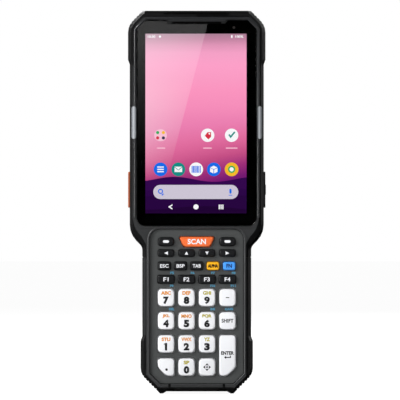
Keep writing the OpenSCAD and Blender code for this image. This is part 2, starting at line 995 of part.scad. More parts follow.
module main_board() {
    w = screw_x - boss_r - 1;
    low = glass_z + board_foot;
    top = core_top_z - wall - board_top_gap;
    face = seam_y - board_t / 2;
    color("#1f6b3a")
    slab(face, seam_y + board_t / 2)
    difference() {
        union() {
            translate([-w, low])
            square([2 * w, top - low]);
            for (z = SCREW_Z) {
                translate([-screw_x, z - ear_r])
                square([2 * screw_x, 2 * ear_r]);
                for (side = [-1, 1])
                    translate([side * screw_x, z])
                    circle(r = ear_r, $fn = 32);
            }
        }
        for (z = SCREW_Z, side = [-1, 1])
            translate([side * screw_x, z])
            circle(r = screw_r + 0.1, $fn = 32);
    }
    color("#3a3d42") {
        for (side = [0, 1])
            mirror([side, 0, 0])
            box([w - switch_w, side_y - switch_front, side_z - switch_w],
                [side_stem_x - side_travel - switch_gap, face, side_z + switch_w]);
        box([-radio_w / 2, face - radio_t, radio_z], [radio_w / 2, face, radio_z + radio_h]);
        box([chip_margin - w, face - memory_t, memory_z],
            [chip_margin - w + memory_w, face, memory_z + memory_h]);
    }
}

// Button in the side wall; steps raises its middle
module side_button(side, tint, steps) {
    color(tint)
    mirror([side > 0 ? 0 : 1, 0, 0]) {
        side_slice(side_in - side_flange_t, head_half + side_out, 0);
        if (steps)
            box([head_half, side_y - side_w / 2 + step_margin, side_z - step_half],
                [head_half + side_out + step_rise, side_y + side_w / 2 - step_margin, side_z + step_half]);
        side_slice(side_in - side_flange_t, side_in - side_flange_gap, side_flange_w);
        translate([side_stem_x, side_y, side_z])
        rotate([0, 90, 0])
        cylinder(h = side_stem_l + SKIN, r = side_stem_r, $fn = 32);
    }
}

// Slice of a side button between two distances from the middle
module side_slice(x0, x1, grow) {
    translate([x0, 0, side_z])
    rotate([90, 0, 90])
    linear_extrude(x1 - x0)
    side_outline(grow);
}

module scan_engine() {
    y0 = seam_y + board_t / 2;
    top = core_top_z - wall - engine_gap;
    color("#33363b")
    difference() {
        box([-engine_half, y0, top - engine_h], [engine_half, y0 + engine_d, top]);
        for (side = [-1, 1])
            translate([side * engine_half / 2, y0 + engine_d * 0.55, top - engine_lens_d])
            cylinder(h = engine_lens_d + 1, r = engine_lens_r, $fn = 32);
    }
}

module scan_window() {
    color("#2a0d12")
    box([-window_w / 2, window_y - window_d / 2, core_top_z],
        [window_w / 2, window_y + window_d / 2, core_top_z + window_t]);
}

// Camera, with the flash on an arm beside it
module camera_module() {
    plate = hump_back_y - camera_plate_t;
    face = plate - camera_air;
    half = lens_r + camera_wall;
    flash_half = flash_r + 0.5;
    color("#2b2d31") {
        box([lens_x - half, seam_y + board_t / 2, camera_z - half], [lens_x + half, face, camera_z + half]);
        box([lens_x, face - flash_t, camera_z - flash_half],
            [flash_x + flash_half, face, camera_z + flash_half]);
        pin_y(lens_x, camera_z, face - SKIN, plate - lens_gap, lens_r - lens_gap);
        pin_y(flash_x, camera_z, face - SKIN, plate - lens_gap, flash_r - lens_gap);
    }
}

module camera_plate_outline(gap) {
    rounded_square(camera_plate_w + 2 * gap, camera_plate_h + 2 * gap, camera_plate_r);
}

module camera_window() {
    color("#101114")
    translate([0, 0, camera_z])
    slab(hump_back_y - camera_plate_t, hump_back_y)
    camera_plate_outline(0);
}

module loudspeaker() {
    y1 = hump_back_y - cavity_inset;
    color("#2b2d31") {
        box([speaker_x - speaker_w / 2, y1 - speaker_t, camera_z - speaker_h / 2],
            [speaker_x + speaker_w / 2, y1, camera_z + speaker_h / 2]);
        box([speaker_x - speaker_foot, seam_y + board_t / 2, camera_z - speaker_foot],
            [speaker_x + speaker_foot, y1 - speaker_t, camera_z + speaker_foot]);
    }
}

// Slots over the loudspeaker
module grille() {
    for (i = [-1.5:1.5])
        translate([speaker_x, 0, camera_z + i * slot_pitch])
        slab(0, FAR)
        rounded_square(speaker_w - 2, slot_w, slot_w / 2 - 0.05);
}

// ---------- back ----------

module bay_block(gap) {
    w = bay_w / 2 - gap;
    box([-w, bay_y + (gap < 0 ? gap : 0), bay_z + gap], [w, FAR, bay_top_z - gap]);
}

// T-shaped slideway of the battery latch
module latch_shape(gap, z0, z1) {
    w = latch_w / 2 + gap;
    foot = w + latch_foot_w;
    y = latch_y - gap;
    step = latch_y + latch_foot_t + gap;
    translate([0, 0, z0])
    linear_extrude(z1 - z0)
    polygon([[-foot, y], [foot, y], [foot, step], [w, step], [w, FAR], [-w, FAR], [-w, step], [-foot, step]]);
}

module latch_pocket() {
    latch_shape(slide_gap, bay_top_z - 1, bay_top_z + latch_pocket_h);
}

module tongue(gap, drop) {
    box([-tongue_w / 2 - gap, tongue_y - gap, latch_z - tongue_l - gap - drop],
        [tongue_w / 2 + gap, tongue_y + tongue_t + gap, latch_z + SKIN]);
}

module battery_latch() {
    color("#35363a") {
        intersection() {
            latch_shape(0, latch_z, latch_z + latch_h);
            box([-FAR, -FAR, 0], [FAR, head_back_y, total_h]);
        }
        tongue(0, 0);
        for (i = [0:LATCH_RIBS - 1])
            translate([0, 0, latch_z + latch_rib_edge + i * latch_rib_pitch])
            box([latch_rib_edge - latch_w / 2, head_back_y - SKIN, 0],
                [latch_w / 2 - latch_rib_edge, head_back_y + latch_rib_rise, latch_rib_w]);
    }
}

// Coil spring that pushes the latch down
module latch_spring() {
    steps = 12;
    r = spring_r;
    wire = spring_wire;
    z0 = latch_z + latch_h + wire;
    z1 = bay_top_z + latch_pocket_h - wire;
    y = latch_y + spring_back;
    count = SPRING_TURNS * steps;
    color("#b8bcc0")
    loft([for (i = [0:count]) let (a = -360 * i / steps, z = lerp(z1, z0, i / count))
        [for (j = [0:5]) let (b = 60 * j)
            [(r + wire * cos(b)) * cos(a), y + (r + wire * cos(b)) * sin(a), z + wire * sin(b)]]]);
}

// Recess of an even depth in the curved back of the pack, between heights z0 and z1
module pack_recess(z0, z1, depth) {
    difference() {
        slab(bay_y + 1, FAR)
        children();
        loft(rings(z0, z1, depth, 0));
    }
}

module battery_pack() {
    color(DARK)
    difference() {
        intersection() {
            loft(rings(bay_z - 3, bay_top_z + 3, 0, 0));
            bay_block(pack_gap);
        }
        for (z = PACK_GROOVES)
            pack_recess(z - pack_groove_w, z + pack_groove_w, pack_groove_d)
            translate([0, z])
            square([2 * pack_groove_half, pack_groove_w], center = true);
        pack_recess(label_z - label_h / 2 - 1, label_z + label_h / 2 + 1, label_d)
        translate([0, label_z])
        rounded_square(label_w, label_h, 2);
        tongue(0.3, 0.2);
        translate([0, 0, bay_top_z])
        box([-latch_w / 2, tongue_y + tongue_t, -3], [latch_w / 2, FAR, 1]);
    }
}

module rear_cover() {
    color(DARK)
    difference() {
        intersection() {
            housing();
            box([-FAR, seam_y + gasket_t / 2, -1], [FAR, FAR, total_h + 1]);
        }
        difference() {
            cavity();
            bay_block(-bay_wall);
            latch_shape(bay_wall, bay_top_z, bay_top_z + latch_pocket_h + bay_wall);
            screw_places() {
                pin_y(0, 0, seam_y, FAR, boss_r);
                pin_y(0, 0, screw_seat_y - seat_wall, FAR, screw_head_r + seat_wall);
            }
            insert_places()
            pin_y(0, 0, hump_back_y - insert_l - wall, FAR, insert_r + insert_wall + seat_wall);
        }
        grip_splits();
        bay_block(0);
        latch_pocket();
        board_room();
        screw_places() {
            pin_y(0, 0, seam_y - 1, FAR, screw_r + 0.1);
            pin_y(0, 0, screw_seat_y, FAR, screw_head_r + 0.2);
        }
        insert_places()
        pin_y(0, 0, hump_back_y - insert_l, FAR, insert_r + insert_wall);
        translate([0, 0, camera_z]) {
            slab(hump_back_y - camera_plate_t, FAR)
            camera_plate_outline(0.1);
            pin_y(lens_x, 0, 0, FAR, lens_r);
            pin_y(flash_x, 0, 0, FAR, flash_r);
        }
        grille();
        box([window_ledge_w - window_w / 2, window_y - window_d / 2 + window_ledge_d, core_top_z - wall - 1],
            [window_w / 2 - window_ledge_w, window_y + window_d / 2 - window_ledge_d, core_top_z + 1]);
        usb_hole();
    }
}

module housing_gasket() {
    color("#0f0f10")
    slab(seam_y - gasket_t / 2, seam_y + gasket_t / 2)
    difference() {
        housing_outline(core_inset + 0.3);
        housing_outline(cavity_inset - 0.3);
    }
}

module housing_screws() {
    color("#8d9196")
    screw_places() {
        pin_y(0, 0, screw_tip_y, screw_seat_y, screw_r);
        pin_y(0, 0, screw_seat_y, screw_seat_y + screw_head_t, screw_head_r);
    }
}

module threaded_inserts() {
    color("#b08d3c")
    insert_places()
    difference() {
        pin_y(0, 0, hump_back_y - insert_l, hump_back_y - insert_sink, insert_r + insert_wall);
        pin_y(0, 0, hump_back_y - insert_l + insert_floor, FAR, insert_r);
    }
}

// ---------- guards ----------

// Ring at the very end of a guard, with its front edge bevelled
function end_ring(z) = section(
    z, half_w(z, -guard_lip), front_at(z) + end_bevel, back_at(z) + guard_lip,
    band_w, band_d, round_at(z) + guard_lip);

module top_guard() {
    color(BLACK)
    difference() {
        loft(concat(
            rings(top_guard_z, top_guard_z + 0.5, 0, -proud),
            rings(top_guard_z + guard_ramp, total_h - end_bevel, -guard_lip, -proud),
            [end_ring(total_h)]
        ));
        housing();
        front_window(top_guard_z - 1, core_top_z);
        box([-window_w / 2 - window_gap, window_y - window_d / 2 - window_gap, core_top_z - 1],
            [window_w / 2 + window_gap, window_y + window_d / 2 + window_gap, total_h + 1]);
        top_notch();
        corner_ribs(half_w(top_rib_z, -guard_lip), top_rib_z, 1, TOP_RIBS);
    }
}

// Grooves across a corner of a guard; up is 1 for the top corners and -1 for the bottom ones
module corner_ribs(x, z, up, count) {
    for (side = [0, 1], i = [0:count - 1])
        mirror([side, 0, 0])
        translate([x, 0, z])
        rotate([0, -45 * up, 0])
        translate([-rib_cut, 0, (i - (count - 1) / 2) * rib_pitch])
        box([0, rib_low_y, -rib_w / 2], [3, rib_high_y, rib_w / 2]);
}

// Opening in the front of a guard, through which the housing's flat front shows
module front_window(z0, z1) {
    slab(-FAR, 0)
    intersection() {
        housing_outline(band_w + 0.2);
        translate([-FAR, z0])
        square([2 * FAR, z1 - z0]);
    }
}

// Shallow recess in the front of the top guard above the earpiece lip
module top_notch() {
    w = lip_half + 0.5;
    top = total_h - 1.2;
    slab(-FAR, rim_y + 1)
    polygon([[-w, core_top_z - 2], [w, core_top_z - 2], [w + lip_slope, top], [-w - lip_slope, top]]);
}

module bottom_guard() {
    color(BLACK)
    difference() {
        union() {
            loft(concat(
                [end_ring(foot_h)],
                rings(foot_h + end_bevel, bottom_guard_h - guard_ramp, -guard_lip, -proud),
                rings(bottom_guard_h - 0.5, bottom_guard_h, 0, -proud)
            ));
            feet();
            slab(grip_rim_y - ridge_rise, grip_rim_y + 2)
            translate([-rib_bar_half, foot_h + 0.9])
            square([2 * rib_bar_half, rib_w]);
        }
        housing();
        front_window(core_z, bottom_guard_h + 1);
        slab(-FAR, grip_rim_y + 1)
        ridge_outline(0.05);
        box([-bay_w / 2 - 0.8, 0, bay_z - 0.8], [bay_w / 2 + 0.8, FAR, bottom_guard_h + 1]);
        flap_room();
        contact_holes(contact_r + 0.05);
        corner_ribs(half_w(low_rib_z, -guard_lip), low_rib_z, -1, BOTTOM_RIBS);
    }
}

// Two rails that the terminal stands on
module feet() {
    for (side = [0, 1])
        mirror([side, 0, 0])
        slab(rim_y + foot_front, tail_back_y - foot_back)
        polygon([
            [foot_x - foot_w - foot_slope, foot_h + foot_bite], [foot_x - foot_w - foot_slope, foot_h],
            [foot_x - foot_w, 0], [foot_x, 0],
            [foot_x + foot_h, foot_h], [foot_x + foot_h, foot_h + foot_bite]
        ]);
}

// ---------- bottom end ----------

module contact_holes(r) {
    for (i = [-2.5:2.5])
        translate([i * contact_pitch, contact_y, foot_h - 1])
        cylinder(h = guard_t + wall + 2, r = r, $fn = 24);
}

module cradle_contacts() {
    color("#d9b25a")
    for (i = [-2.5:2.5])
        translate([i * contact_pitch, contact_y, foot_h + 0.2]) {
            cylinder(h = guard_t + wall, r = contact_r, $fn = 24);
            translate([0, 0, guard_t + wall - 0.2])
            cylinder(h = 0.8, r = contact_r + 0.5, $fn = 24);
        }
}

module port_outline(gap) {
    translate([0, port_y])
    rounded_square(port_w + 2 * gap, port_h + 2 * gap, port_h / 2 + gap - 0.1);
}

module usb_hole() {
    translate([0, 0, core_z - 1])
    linear_extrude(wall + 2)
    port_outline(0.05);
}

module usb_port() {
    color("#c4c7cb")
    difference() {
        union() {
            translate([0, 0, core_z + 0.1])
            linear_extrude(port_l)
            port_outline(0);
            translate([0, 0, core_z + wall])
            linear_extrude(port_lip)
            port_outline(port_lip);
        }
        translate([0, 0, core_z])
        linear_extrude(port_room)
        port_outline(-port_wall);
    }
}

module flap_room() {
    box([-flap_w / 2 - flap_gap, flap_y - flap_gap, foot_h - 1],
        [flap_w / 2 + flap_gap, flap_y + flap_d + flap_back_room, core_z + 1]);
}

// Rubber cover of the port, hinged along its back edge
module port_cover() {
    axis_y = flap_y + flap_d + 0.4;
    axis_z = foot_h + hinge_r + 0.1;
    color("#222224") {
        box([-flap_w / 2, flap_y, foot_h], [flap_w / 2, flap_y + flap_d, foot_h + flap_t]);
        translate([-flap_w / 2, axis_y, axis_z])
        rotate([0, 90, 0])
        cylinder(h = flap_w, r = hinge_r, $fn = 32);
        translate([0, 0, core_z - flap_plug])
        linear_extrude(2 * flap_plug)
        port_outline(-2 * port_wall);
    }
}

front_cover();
rear_cover();
housing_gasket();
screen_bezel();
top_guard();
bottom_guard();
touch_glass();
display_panel();
receiver();
led_guides();
keypad_plate();
keypad_mat();
keypad_board();
main_board();
scan_engine();
scan_window();
camera_module();
camera_window();
loudspeaker();
battery_pack();
battery_latch();
latch_spring();
usb_port();
port_cover();
cradle_contacts();
housing_screws();
threaded_inserts();
side_button(-1, "#b5541f", false);  // scan_trigger_left
side_button(1, DARK, true);  // side_button_right
key("key_soft_left", DARK);  // key_soft_left
key("key_scan", "#f57c3c");  // key_scan
key("key_soft_right", DARK);  // key_soft_right
key("key_left", DARK);  // key_left
key("key_up", DARK);  // key_up
key("key_down", DARK);  // key_down
key("key_right", DARK);  // key_right
key("key_esc", DARK);  // key_esc
key("key_bsp", DARK);  // key_bsp
key("key_tab", DARK);  // key_tab
key("key_alpha", "#fab91e");  // key_alpha
key("key_fn", "#5aaaf5");  // key_fn
key("key_f1", DARK);  // key_f1
key("key_f2", DARK);  // key_f2
key("key_f3", DARK);  // key_f3
key("key_f4", DARK);  // key_f4
key("key_7", WHITE);  // key_7
key("key_8", WHITE);  // key_8
key("key_9", WHITE);  // key_9
key("key_minus", WHITE);  // key_minus
key("key_4", WHITE);  // key_4
key("key_5", WHITE);  // key_5
key("key_6", WHITE);  // key_6
key("key_shift", WHITE);  // key_shift
key("key_1", WHITE);  // key_1
key("key_2", WHITE);  // key_2
key("key_3", WHITE);  // key_3
key("key_enter", WHITE);  // key_enter
key("key_dot", WHITE);  // key_dot
key("key_0", WHITE);  // key_0
key("key_nav", WHITE);  // key_nav
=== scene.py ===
"""Rugged handheld computer: finishes, key caps, legends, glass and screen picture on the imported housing."""

import functools
import math

import bmesh
import bpy
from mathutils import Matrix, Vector


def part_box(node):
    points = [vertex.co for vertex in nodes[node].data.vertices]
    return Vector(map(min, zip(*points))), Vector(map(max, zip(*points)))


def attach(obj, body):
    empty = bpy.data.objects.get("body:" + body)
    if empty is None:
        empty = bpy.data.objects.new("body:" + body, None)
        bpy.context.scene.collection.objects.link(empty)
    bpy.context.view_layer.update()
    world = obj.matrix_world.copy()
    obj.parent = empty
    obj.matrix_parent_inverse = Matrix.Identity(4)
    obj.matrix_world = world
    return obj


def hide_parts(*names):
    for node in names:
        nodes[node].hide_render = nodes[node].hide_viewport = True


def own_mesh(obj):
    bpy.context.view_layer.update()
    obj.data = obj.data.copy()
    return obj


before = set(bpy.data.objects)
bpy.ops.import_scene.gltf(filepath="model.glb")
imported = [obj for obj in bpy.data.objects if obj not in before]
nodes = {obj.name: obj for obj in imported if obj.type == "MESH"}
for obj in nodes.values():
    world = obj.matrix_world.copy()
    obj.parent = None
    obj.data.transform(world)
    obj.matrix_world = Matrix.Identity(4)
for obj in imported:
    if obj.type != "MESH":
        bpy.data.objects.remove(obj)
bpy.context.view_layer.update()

MM = 0.001
SPLIT_LOW = 22.1      # split lines across the sides of the grip
SPLIT_HIGH = 71.2
RIDGE_Y = -14.05      # the ridge round the keypad stands in front of this depth
BAND_Y = -12.2        # the bevels behind this depth are dark
FLANK_Y = -8.0        # the side walls start behind this depth
HEAD_OFF = 0.45       # the face of the head sits this far left of the middle
FLARE_TOP = 94.0      # the head widens up to this height
SHADE_RAIL_X = 25.7         # the right side is painted in shade outside this half width
CROWN_Z = 196.5       # the housing is black above this height
DIP_SHADE_HALF = 15.5       # painted shade in the dip above the earpiece: half width, and the depth it reaches
DIP_SHADE_Y = -11.0
GUIDE_IN = 31.6       # inner and outer edge of the light bars
GUIDE_OUT = 34.2
GLARE_TOP = (5.9, 193.7)      # upper and lower end of the slanting edge of the mirrored light, which the soft panel gives and the picture also paints as a painted reflection
GLARE_LOW = (-20.2, 94.3)
GLARE_SLOPE = 0.2626
SCREEN_GLOW = 1.06    # strength of all that the screen shows


# ---- bench tools

def leave_all():
    """Goes back to object mode with nothing selected."""
    if bpy.context.object and bpy.context.object.mode != "OBJECT":
        bpy.ops.object.mode_set(mode="OBJECT")
    bpy.ops.object.select_all(action="DESELECT")


def end_edit():
    bpy.ops.object.mode_set(mode="OBJECT")


def hold(piece):
    """Makes one piece the only selected and active object."""
    leave_all()
    piece.select_set(True)
    bpy.context.view_layer.objects.active = piece


def edit(piece, level="FACE"):
    hold(piece)
    bpy.ops.object.mode_set(mode="EDIT")
    bpy.ops.mesh.select_mode(type=level)
    bpy.ops.mesh.select_all(action="DESELECT")


def edit_all(piece):
    edit(piece)
    bpy.ops.mesh.select_all(action="SELECT")


def pick(level, test):
    """In edit mode, selects only the points, edges or faces that pass the test."""
    bpy.ops.mesh.select_mode(type=level)
    bpy.ops.mesh.select_all(action="DESELECT")
    mesh = bpy.context.object.data
    shape = bmesh.from_edit_mesh(mesh)
    for item in {"VERT": shape.verts, "EDGE": shape.edges, "FACE": shape.faces}[level]:
        if test(item):
            item.select = True
    shape.select_flush_mode()
    bmesh.update_edit_mesh(mesh)


def settle(piece):
    """Puts the object at the origin with its place in its mesh."""
    hold(piece)
    bpy.ops.object.transform_apply(location=True, rotation=True, scale=True)
    return piece


def finish_with(piece, kind, **settings):
    """Adds a modifier and applies it."""
    hold(piece)
    bpy.ops.object.modifier_add(type=kind)
    modifier = piece.modifiers[-1]
    for key, value in settings.items():
        setattr(modifier, key, value)
    bpy.ops.object.modifier_apply(modifier=modifier.name)


def smooth(piece, angle=35):
    hold(piece)
    bpy.ops.object.shade_smooth_by_angle(angle=math.radians(angle))


def dress(piece, *materials):
    piece.data.materials.clear()
    for material in materials:
        piece.data.materials.append(material)


def copy_of(piece, name):
    twin = bpy.data.objects.new(name, piece.data.copy())
    bpy.context.scene.collection.objects.link(twin)
    return twin


def join(parts, name):
    """Joins several pieces into the first one."""
    leave_all()
    for part in parts:
        part.select_set(True)
    bpy.context.view_layer.objects.active = parts[0]
    if len(parts) > 1:
        bpy.ops.object.join()
    parts[0].name = name
    return parts[0]


def block(name, low, high):
    """Box between two corners given in millimetres."""
    leave_all()
    centre = [(a + b) / 2 * MM for a, b in zip(low, high)]
    size = [(b - a) * MM for a, b in zip(low, high)]
    bpy.ops.mesh.primitive_cube_add(size=1, location=centre, scale=size)
    piece = bpy.context.object
    piece.name = name
    return settle(piece)


def ring(points, fill="NGON"):
    """Ring through points given in millimetres, filled or open."""
    leave_all()
    bpy.ops.mesh.primitive_circle_add(vertices=len(points), radius=MM, fill_type=fill)
    piece = bpy.context.object
    edit(piece)
    shape = bmesh.from_edit_mesh(piece.data)
    for vertex, place in zip(shape.verts, points):
        vertex.co = [c * MM for c in place]
    bmesh.update_edit_mesh(piece.data)
    end_edit()
    return piece


def face_out(piece):
    """Turns all faces of a piece outwards."""
    edit_all(piece)
    bpy.ops.mesh.normals_make_consistent(inside=False)
    end_edit()


# ---- shader tools

GRAIN_DEPTH = 0.0002     # reach of the bump in metres


def rgb(r, g, b):
    """Linear colour of a colour given in 0 to 255."""
    return tuple(((c / 255 + 0.055) / 1.055) ** 2.4 if c > 10 else c / 255 / 12.92 for c in (r, g, b))


def new_material(name, **constants):
    """Material with one Principled shader; constants are set on the shader's own sockets."""
    material = bpy.data.materials.new(name)
    material.use_nodes = True
    tree = material.node_tree
    shader = tree.nodes["Principled BSDF"]
    for key, value in constants.items():
        shader.inputs[key.replace("_", " ")].default_value = value
    return material, tree, shader


def node(tree, kind, **settings):
    made = tree.nodes.new(kind)
    for key, value in settings.items():
        setattr(made, key, value)
    return made


def wire(tree, source, target):
    tree.links.new(source, target)


def maths(tree, operation, *values):
    """Output of a Math node; each value is a number or the socket that feeds it."""
    made = node(tree, "ShaderNodeMath", operation=operation)
    for socket, value in zip(made.inputs, values):
        if isinstance(value, (int, float)):
            socket.default_value = value
        else:
            wire(tree, value, socket)
    return made.outputs[0]


def map_range(tree, source, low, high, to_low=0.0, to_high=1.0):
    """How far the source has come from low to high, laid out from one value to another."""
    made = node(tree, "ShaderNodeMapRange")
    for name, value in (("From Min", low), ("From Max", high), ("To Min", to_low), ("To Max", to_high)):
        made.inputs[name].default_value = value
    wire(tree, source, made.inputs["Value"])
    return made.outputs[0]


def compare(tree, source, limit, above=True):
    """1 where the source is above (or below) the limit, which is in millimetres or another socket."""
    if isinstance(limit, (int, float)):
        limit = limit * MM
    return maths(tree, "GREATER_THAN" if above else "LESS_THAN", source, limit)


def all_of(tree, *masks):
    """Product of the masks: 1 where every one is 1."""
    return functools.reduce(lambda a, b: maths(tree, "MULTIPLY", a, b), masks)


def any_of(tree, *masks):
    """1 where at least one mask is 1."""
    return functools.reduce(lambda a, b: maths(tree, "MAXIMUM", a, b), masks)


def paint_over(tree, under, mask, colour):
    """Colour laid over another one where the mask is 1; both are fixed colours or sockets."""
    layer = node(tree, "ShaderNodeMix", data_type="RGBA")
    wire(tree, mask, layer.inputs[0])
    for socket, paint in ((layer.inputs[6], under), (layer.inputs[7], colour)):
        if isinstance(paint, tuple):
            socket.default_value = (*paint, 1)
        else:
            wire(tree, paint, socket)
    return layer.outputs[2]


def ramp(tree, source, stops):
    """Colours or values through rising stops."""
    made = node(tree, "ShaderNodeValToRGB")
    points = made.color_ramp.elements
    points.remove(points[1])
    for i, (at, colour) in enumerate(stops):
        if i:
            point = points.new(at)
        else:
            point = points[0]
            point.position = at
        point.color = (*colour, 1) if isinstance(colour, tuple) else (colour, colour, colour, 1)
    wire(tree, source, made.inputs[0])
    return made.outputs[0]


def coordinates(tree):
    """The X, Y and Z of the object coordinates."""
    place = node(tree, "ShaderNodeTexCoord")
    parts = node(tree, "ShaderNodeSeparateXYZ")
    wire(tree, place.outputs["Object"], parts.inputs[0])
    return [parts.outputs[axis] for axis in "XYZ"]


def grain_group():
    """Fine spark-erosion grain with a slight drift of tone: Color, Roughness and Height."""
    group = bpy.data.node_groups.new("mould_grain", "ShaderNodeTree")
    for name, kind, value in [("Tone", "NodeSocketColor", (0.1, 0.1, 0.1, 1)),
                              ("Drift", "NodeSocketFloat", 0.1),
                              ("Gloss break", "NodeSocketFloat", 0.05),
                              ("Base roughness", "NodeSocketFloat", 0.5),
                              ("Grain size", "NodeSocketFloat", 2500.0)]:
        socket = group.interface.new_socket(name, in_out="INPUT", socket_type=kind)
        socket.default_value = value
    for name, kind in (("Color", "Color"), ("Roughness", "Float"), ("Height", "Float")):
        group.interface.new_socket(name, in_out="OUTPUT", socket_type="NodeSocket" + kind)
    inside = node(group, "NodeGroupInput")
    outside = node(group, "NodeGroupOutput")
    place = node(group, "ShaderNodeTexCoord")
    grain = node(group, "ShaderNodeTexNoise")
    grain.inputs["Detail"].default_value = 3
    wire(group, place.outputs["Object"], grain.inputs["Vector"])
    wire(group, inside.outputs["Grain size"], grain.inputs["Scale"])
    cloud = node(group, "ShaderNodeTexNoise")
    cloud.inputs["Scale"].default_value = 60
    cloud.inputs["Detail"].default_value = 2
    wire(group, place.outputs["Object"], cloud.inputs["Vector"])
    centred = maths(group, "SUBTRACT", maths(group, "ADD", grain.outputs["Fac"], cloud.outputs["Fac"]), 1)
    drift = maths(group, "MULTIPLY_ADD", centred, inside.outputs["Drift"], 1)
    tint = node(group, "ShaderNodeVectorMath", operation="SCALE")
    wire(group, inside.outputs["Tone"], tint.inputs[0])
    wire(group, drift, tint.inputs["Scale"])
    rough = maths(group, "MULTIPLY_ADD", centred, inside.outputs["Gloss break"], inside.outputs["Base roughness"])
    wire(group, tint.outputs[0], outside.inputs["Color"])
    wire(group, rough, outside.inputs["Roughness"])
    wire(group, grain.outputs["Fac"], outside.inputs["Height"])
    return group


GRAIN = grain_group()


def moulded(name, tone, roughness=0.5, drift=0.12, gloss_break=0.08, size=2500.0, bump=0.05, tone_source=None,
            **constants):
    """Moulded plastic or rubber: grain group for colour and roughness, and a shallow bump."""
    material, tree, shader = new_material(name, **constants)
    group = node(tree, "ShaderNodeGroup", node_tree=GRAIN)
    for socket, value in (("Tone", (*tone, 1)), ("Drift", drift), ("Gloss break", gloss_break),
                          ("Base roughness", roughness), ("Grain size", size)):
        group.inputs[socket].default_value = value
    wire(tree, group.outputs["Color"], shader.inputs["Base Color"])
    wire(tree, group.outputs["Roughness"], shader.inputs["Roughness"])
    relief = node(tree, "ShaderNodeBump")
    relief.inputs["Strength"].default_value = bump
    relief.inputs["Distance"].default_value = GRAIN_DEPTH
    wire(tree, group.outputs["Height"], relief.inputs["Height"])
    wire(tree, relief.outputs["Normal"], shader.inputs["Normal"])
    if tone_source:
        tone_source(tree, group.inputs["Tone"])
    return material


def cover_tones_and_painted_shade(tree, target):
    """Grey faces and ridge, dark bevels, black band down the head and round the chin, grey flanks, and painted shade
    that darkens the right side and the right half of the black band as if lit from the left.
    """
    x, y, z = coordinates(tree)
    side = maths(tree, "ABSOLUTE", maths(tree, "ADD", x, HEAD_OFF * MM))
    height = map_range(tree, z, SPLIT_HIGH * MM, FLARE_TOP * MM)
    edge = ramp(tree, height, [((at - SPLIT_HIGH) / (FLARE_TOP - SPLIT_HIGH), half * MM) for at, half in (
        (SPLIT_HIGH, 26.0), (76.0, 26.0), (78.0, 26.05), (82.0, 28.3), (84.0, 30.0), (86.0, 31.4), (88.5, 32.3),
        (92.0, 33.0))])
    behind_ridge = compare(tree, y, RIDGE_Y)
    bevel = compare(tree, y, BAND_Y)
    right_half = compare(tree, x, 0)
    above_split = compare(tree, z, SPLIT_HIGH)
    # painted shade: the right half behind the ridge and the right rail are darkened as if lit from the left
    right = any_of(tree, all_of(tree, behind_ridge, right_half), compare(tree, x, SHADE_RAIL_X))
    chin = all_of(tree, behind_ridge, compare(tree, z, SPLIT_LOW, False))
    head = all_of(tree, compare(tree, side, edge), above_split)
    face = all_of(tree, above_split, compare(tree, y, BAND_Y, False))
    black = any_of(tree, chin, head, compare(tree, z, CROWN_Z))
    tone = paint_over(tree, rgb(56, 57, 58), behind_ridge, rgb(40, 41, 42))
    # the right mask and the right half of the black band are painted shade, not the plastic's own colour
    for mask, colour in ((right, rgb(15, 15, 16)), (face, rgb(52, 53, 54)), (bevel, rgb(30, 31, 32)),
                         (black, rgb(19, 19, 20)), (all_of(tree, black, right_half), rgb(6, 6, 7)),
                         (compare(tree, y, FLANK_Y), rgb(40, 41, 43))):
        tone = paint_over(tree, tone, mask, colour)
    wire(tree, tone, target)


def guard_tone_and_painted_dip_shade(tree, target):
    """Black rubber with painted shade that darkens the dip above the earpiece."""
    x, y = coordinates(tree)[:2]
    # painted shade: the dip is darkened where less light falls into it
    painted_dip_shade = all_of(tree, compare(tree, maths(tree, "ABSOLUTE", x), DIP_SHADE_HALF, False), compare(tree, y, DIP_SHADE_Y, False))
    wire(tree, paint_over(tree, rgb(17, 17, 18), painted_dip_shade, rgb(7, 7, 7)), target)


def guide_painted_shading(tree, target):
    """Light bar with a painted highlight along its middle and painted shade towards its edges."""
    side = maths(tree, "ABSOLUTE", coordinates(tree)[0])
    across = map_range(tree, side, GUIDE_IN * MM, GUIDE_OUT * MM)
    # painted highlight in the middle of the bar, painted shade at its edges
    wire(tree, ramp(tree, across, [(0.0, rgb(60, 62, 66)), (0.25, rgb(138, 142, 146)), (0.45, rgb(172, 176, 180)),
                                   (0.7, rgb(138, 142, 146)), (1.0, rgb(66, 68, 72))]), target)


def glowing(name, colour):
    """Lit picture element behind the glass."""
    return new_material(name, Roughness=0.5, Specular_IOR_Level=0.0, Emission_Strength=SCREEN_GLOW,
                        Base_Color=(0, 0, 0, 1), Emission_Color=(*colour, 1))[0]


# ---- finishes

# the cover's colours include painted shade on its right side
cover_black = moulded("cover_plastic_painted_shade", rgb(34, 34, 36), 0.5, bump=0.06, Specular_IOR_Level=0.16,
                      tone_source=cover_tones_and_painted_shade)
rear_black = moulded("rear_plastic", rgb(46, 47, 49), 0.5, bump=0.06, Specular_IOR_Level=0.3)
pack_black = moulded("pack_plastic", rgb(38, 39, 41), 0.45, bump=0.05, Specular_IOR_Level=0.35)
bead_black = moulded("bead_plastic", rgb(58, 59, 60), 0.34, drift=0.05, gloss_break=0.03, bump=0.0,
                     Specular_IOR_Level=0.6)
guard_rubber = moulded("guard_moulding_painted_shade", rgb(17, 17, 18), 0.62, bump=0.08, Specular_IOR_Level=0.2,
                       tone_source=guard_tone_and_painted_dip_shade)
bezel_grey = moulded("bezel_paint", rgb(43, 44, 46), 0.28, drift=0.05, gloss_break=0.03, bump=0.0,
                     Specular_IOR_Level=0.82)
plate_grey = moulded("plate_plastic", rgb(72, 74, 74), 0.55, bump=0.05, Specular_IOR_Level=0.2)
gasket_black = moulded("gasket_foam", rgb(12, 12, 12), 0.8, Specular_IOR_Level=0.2)
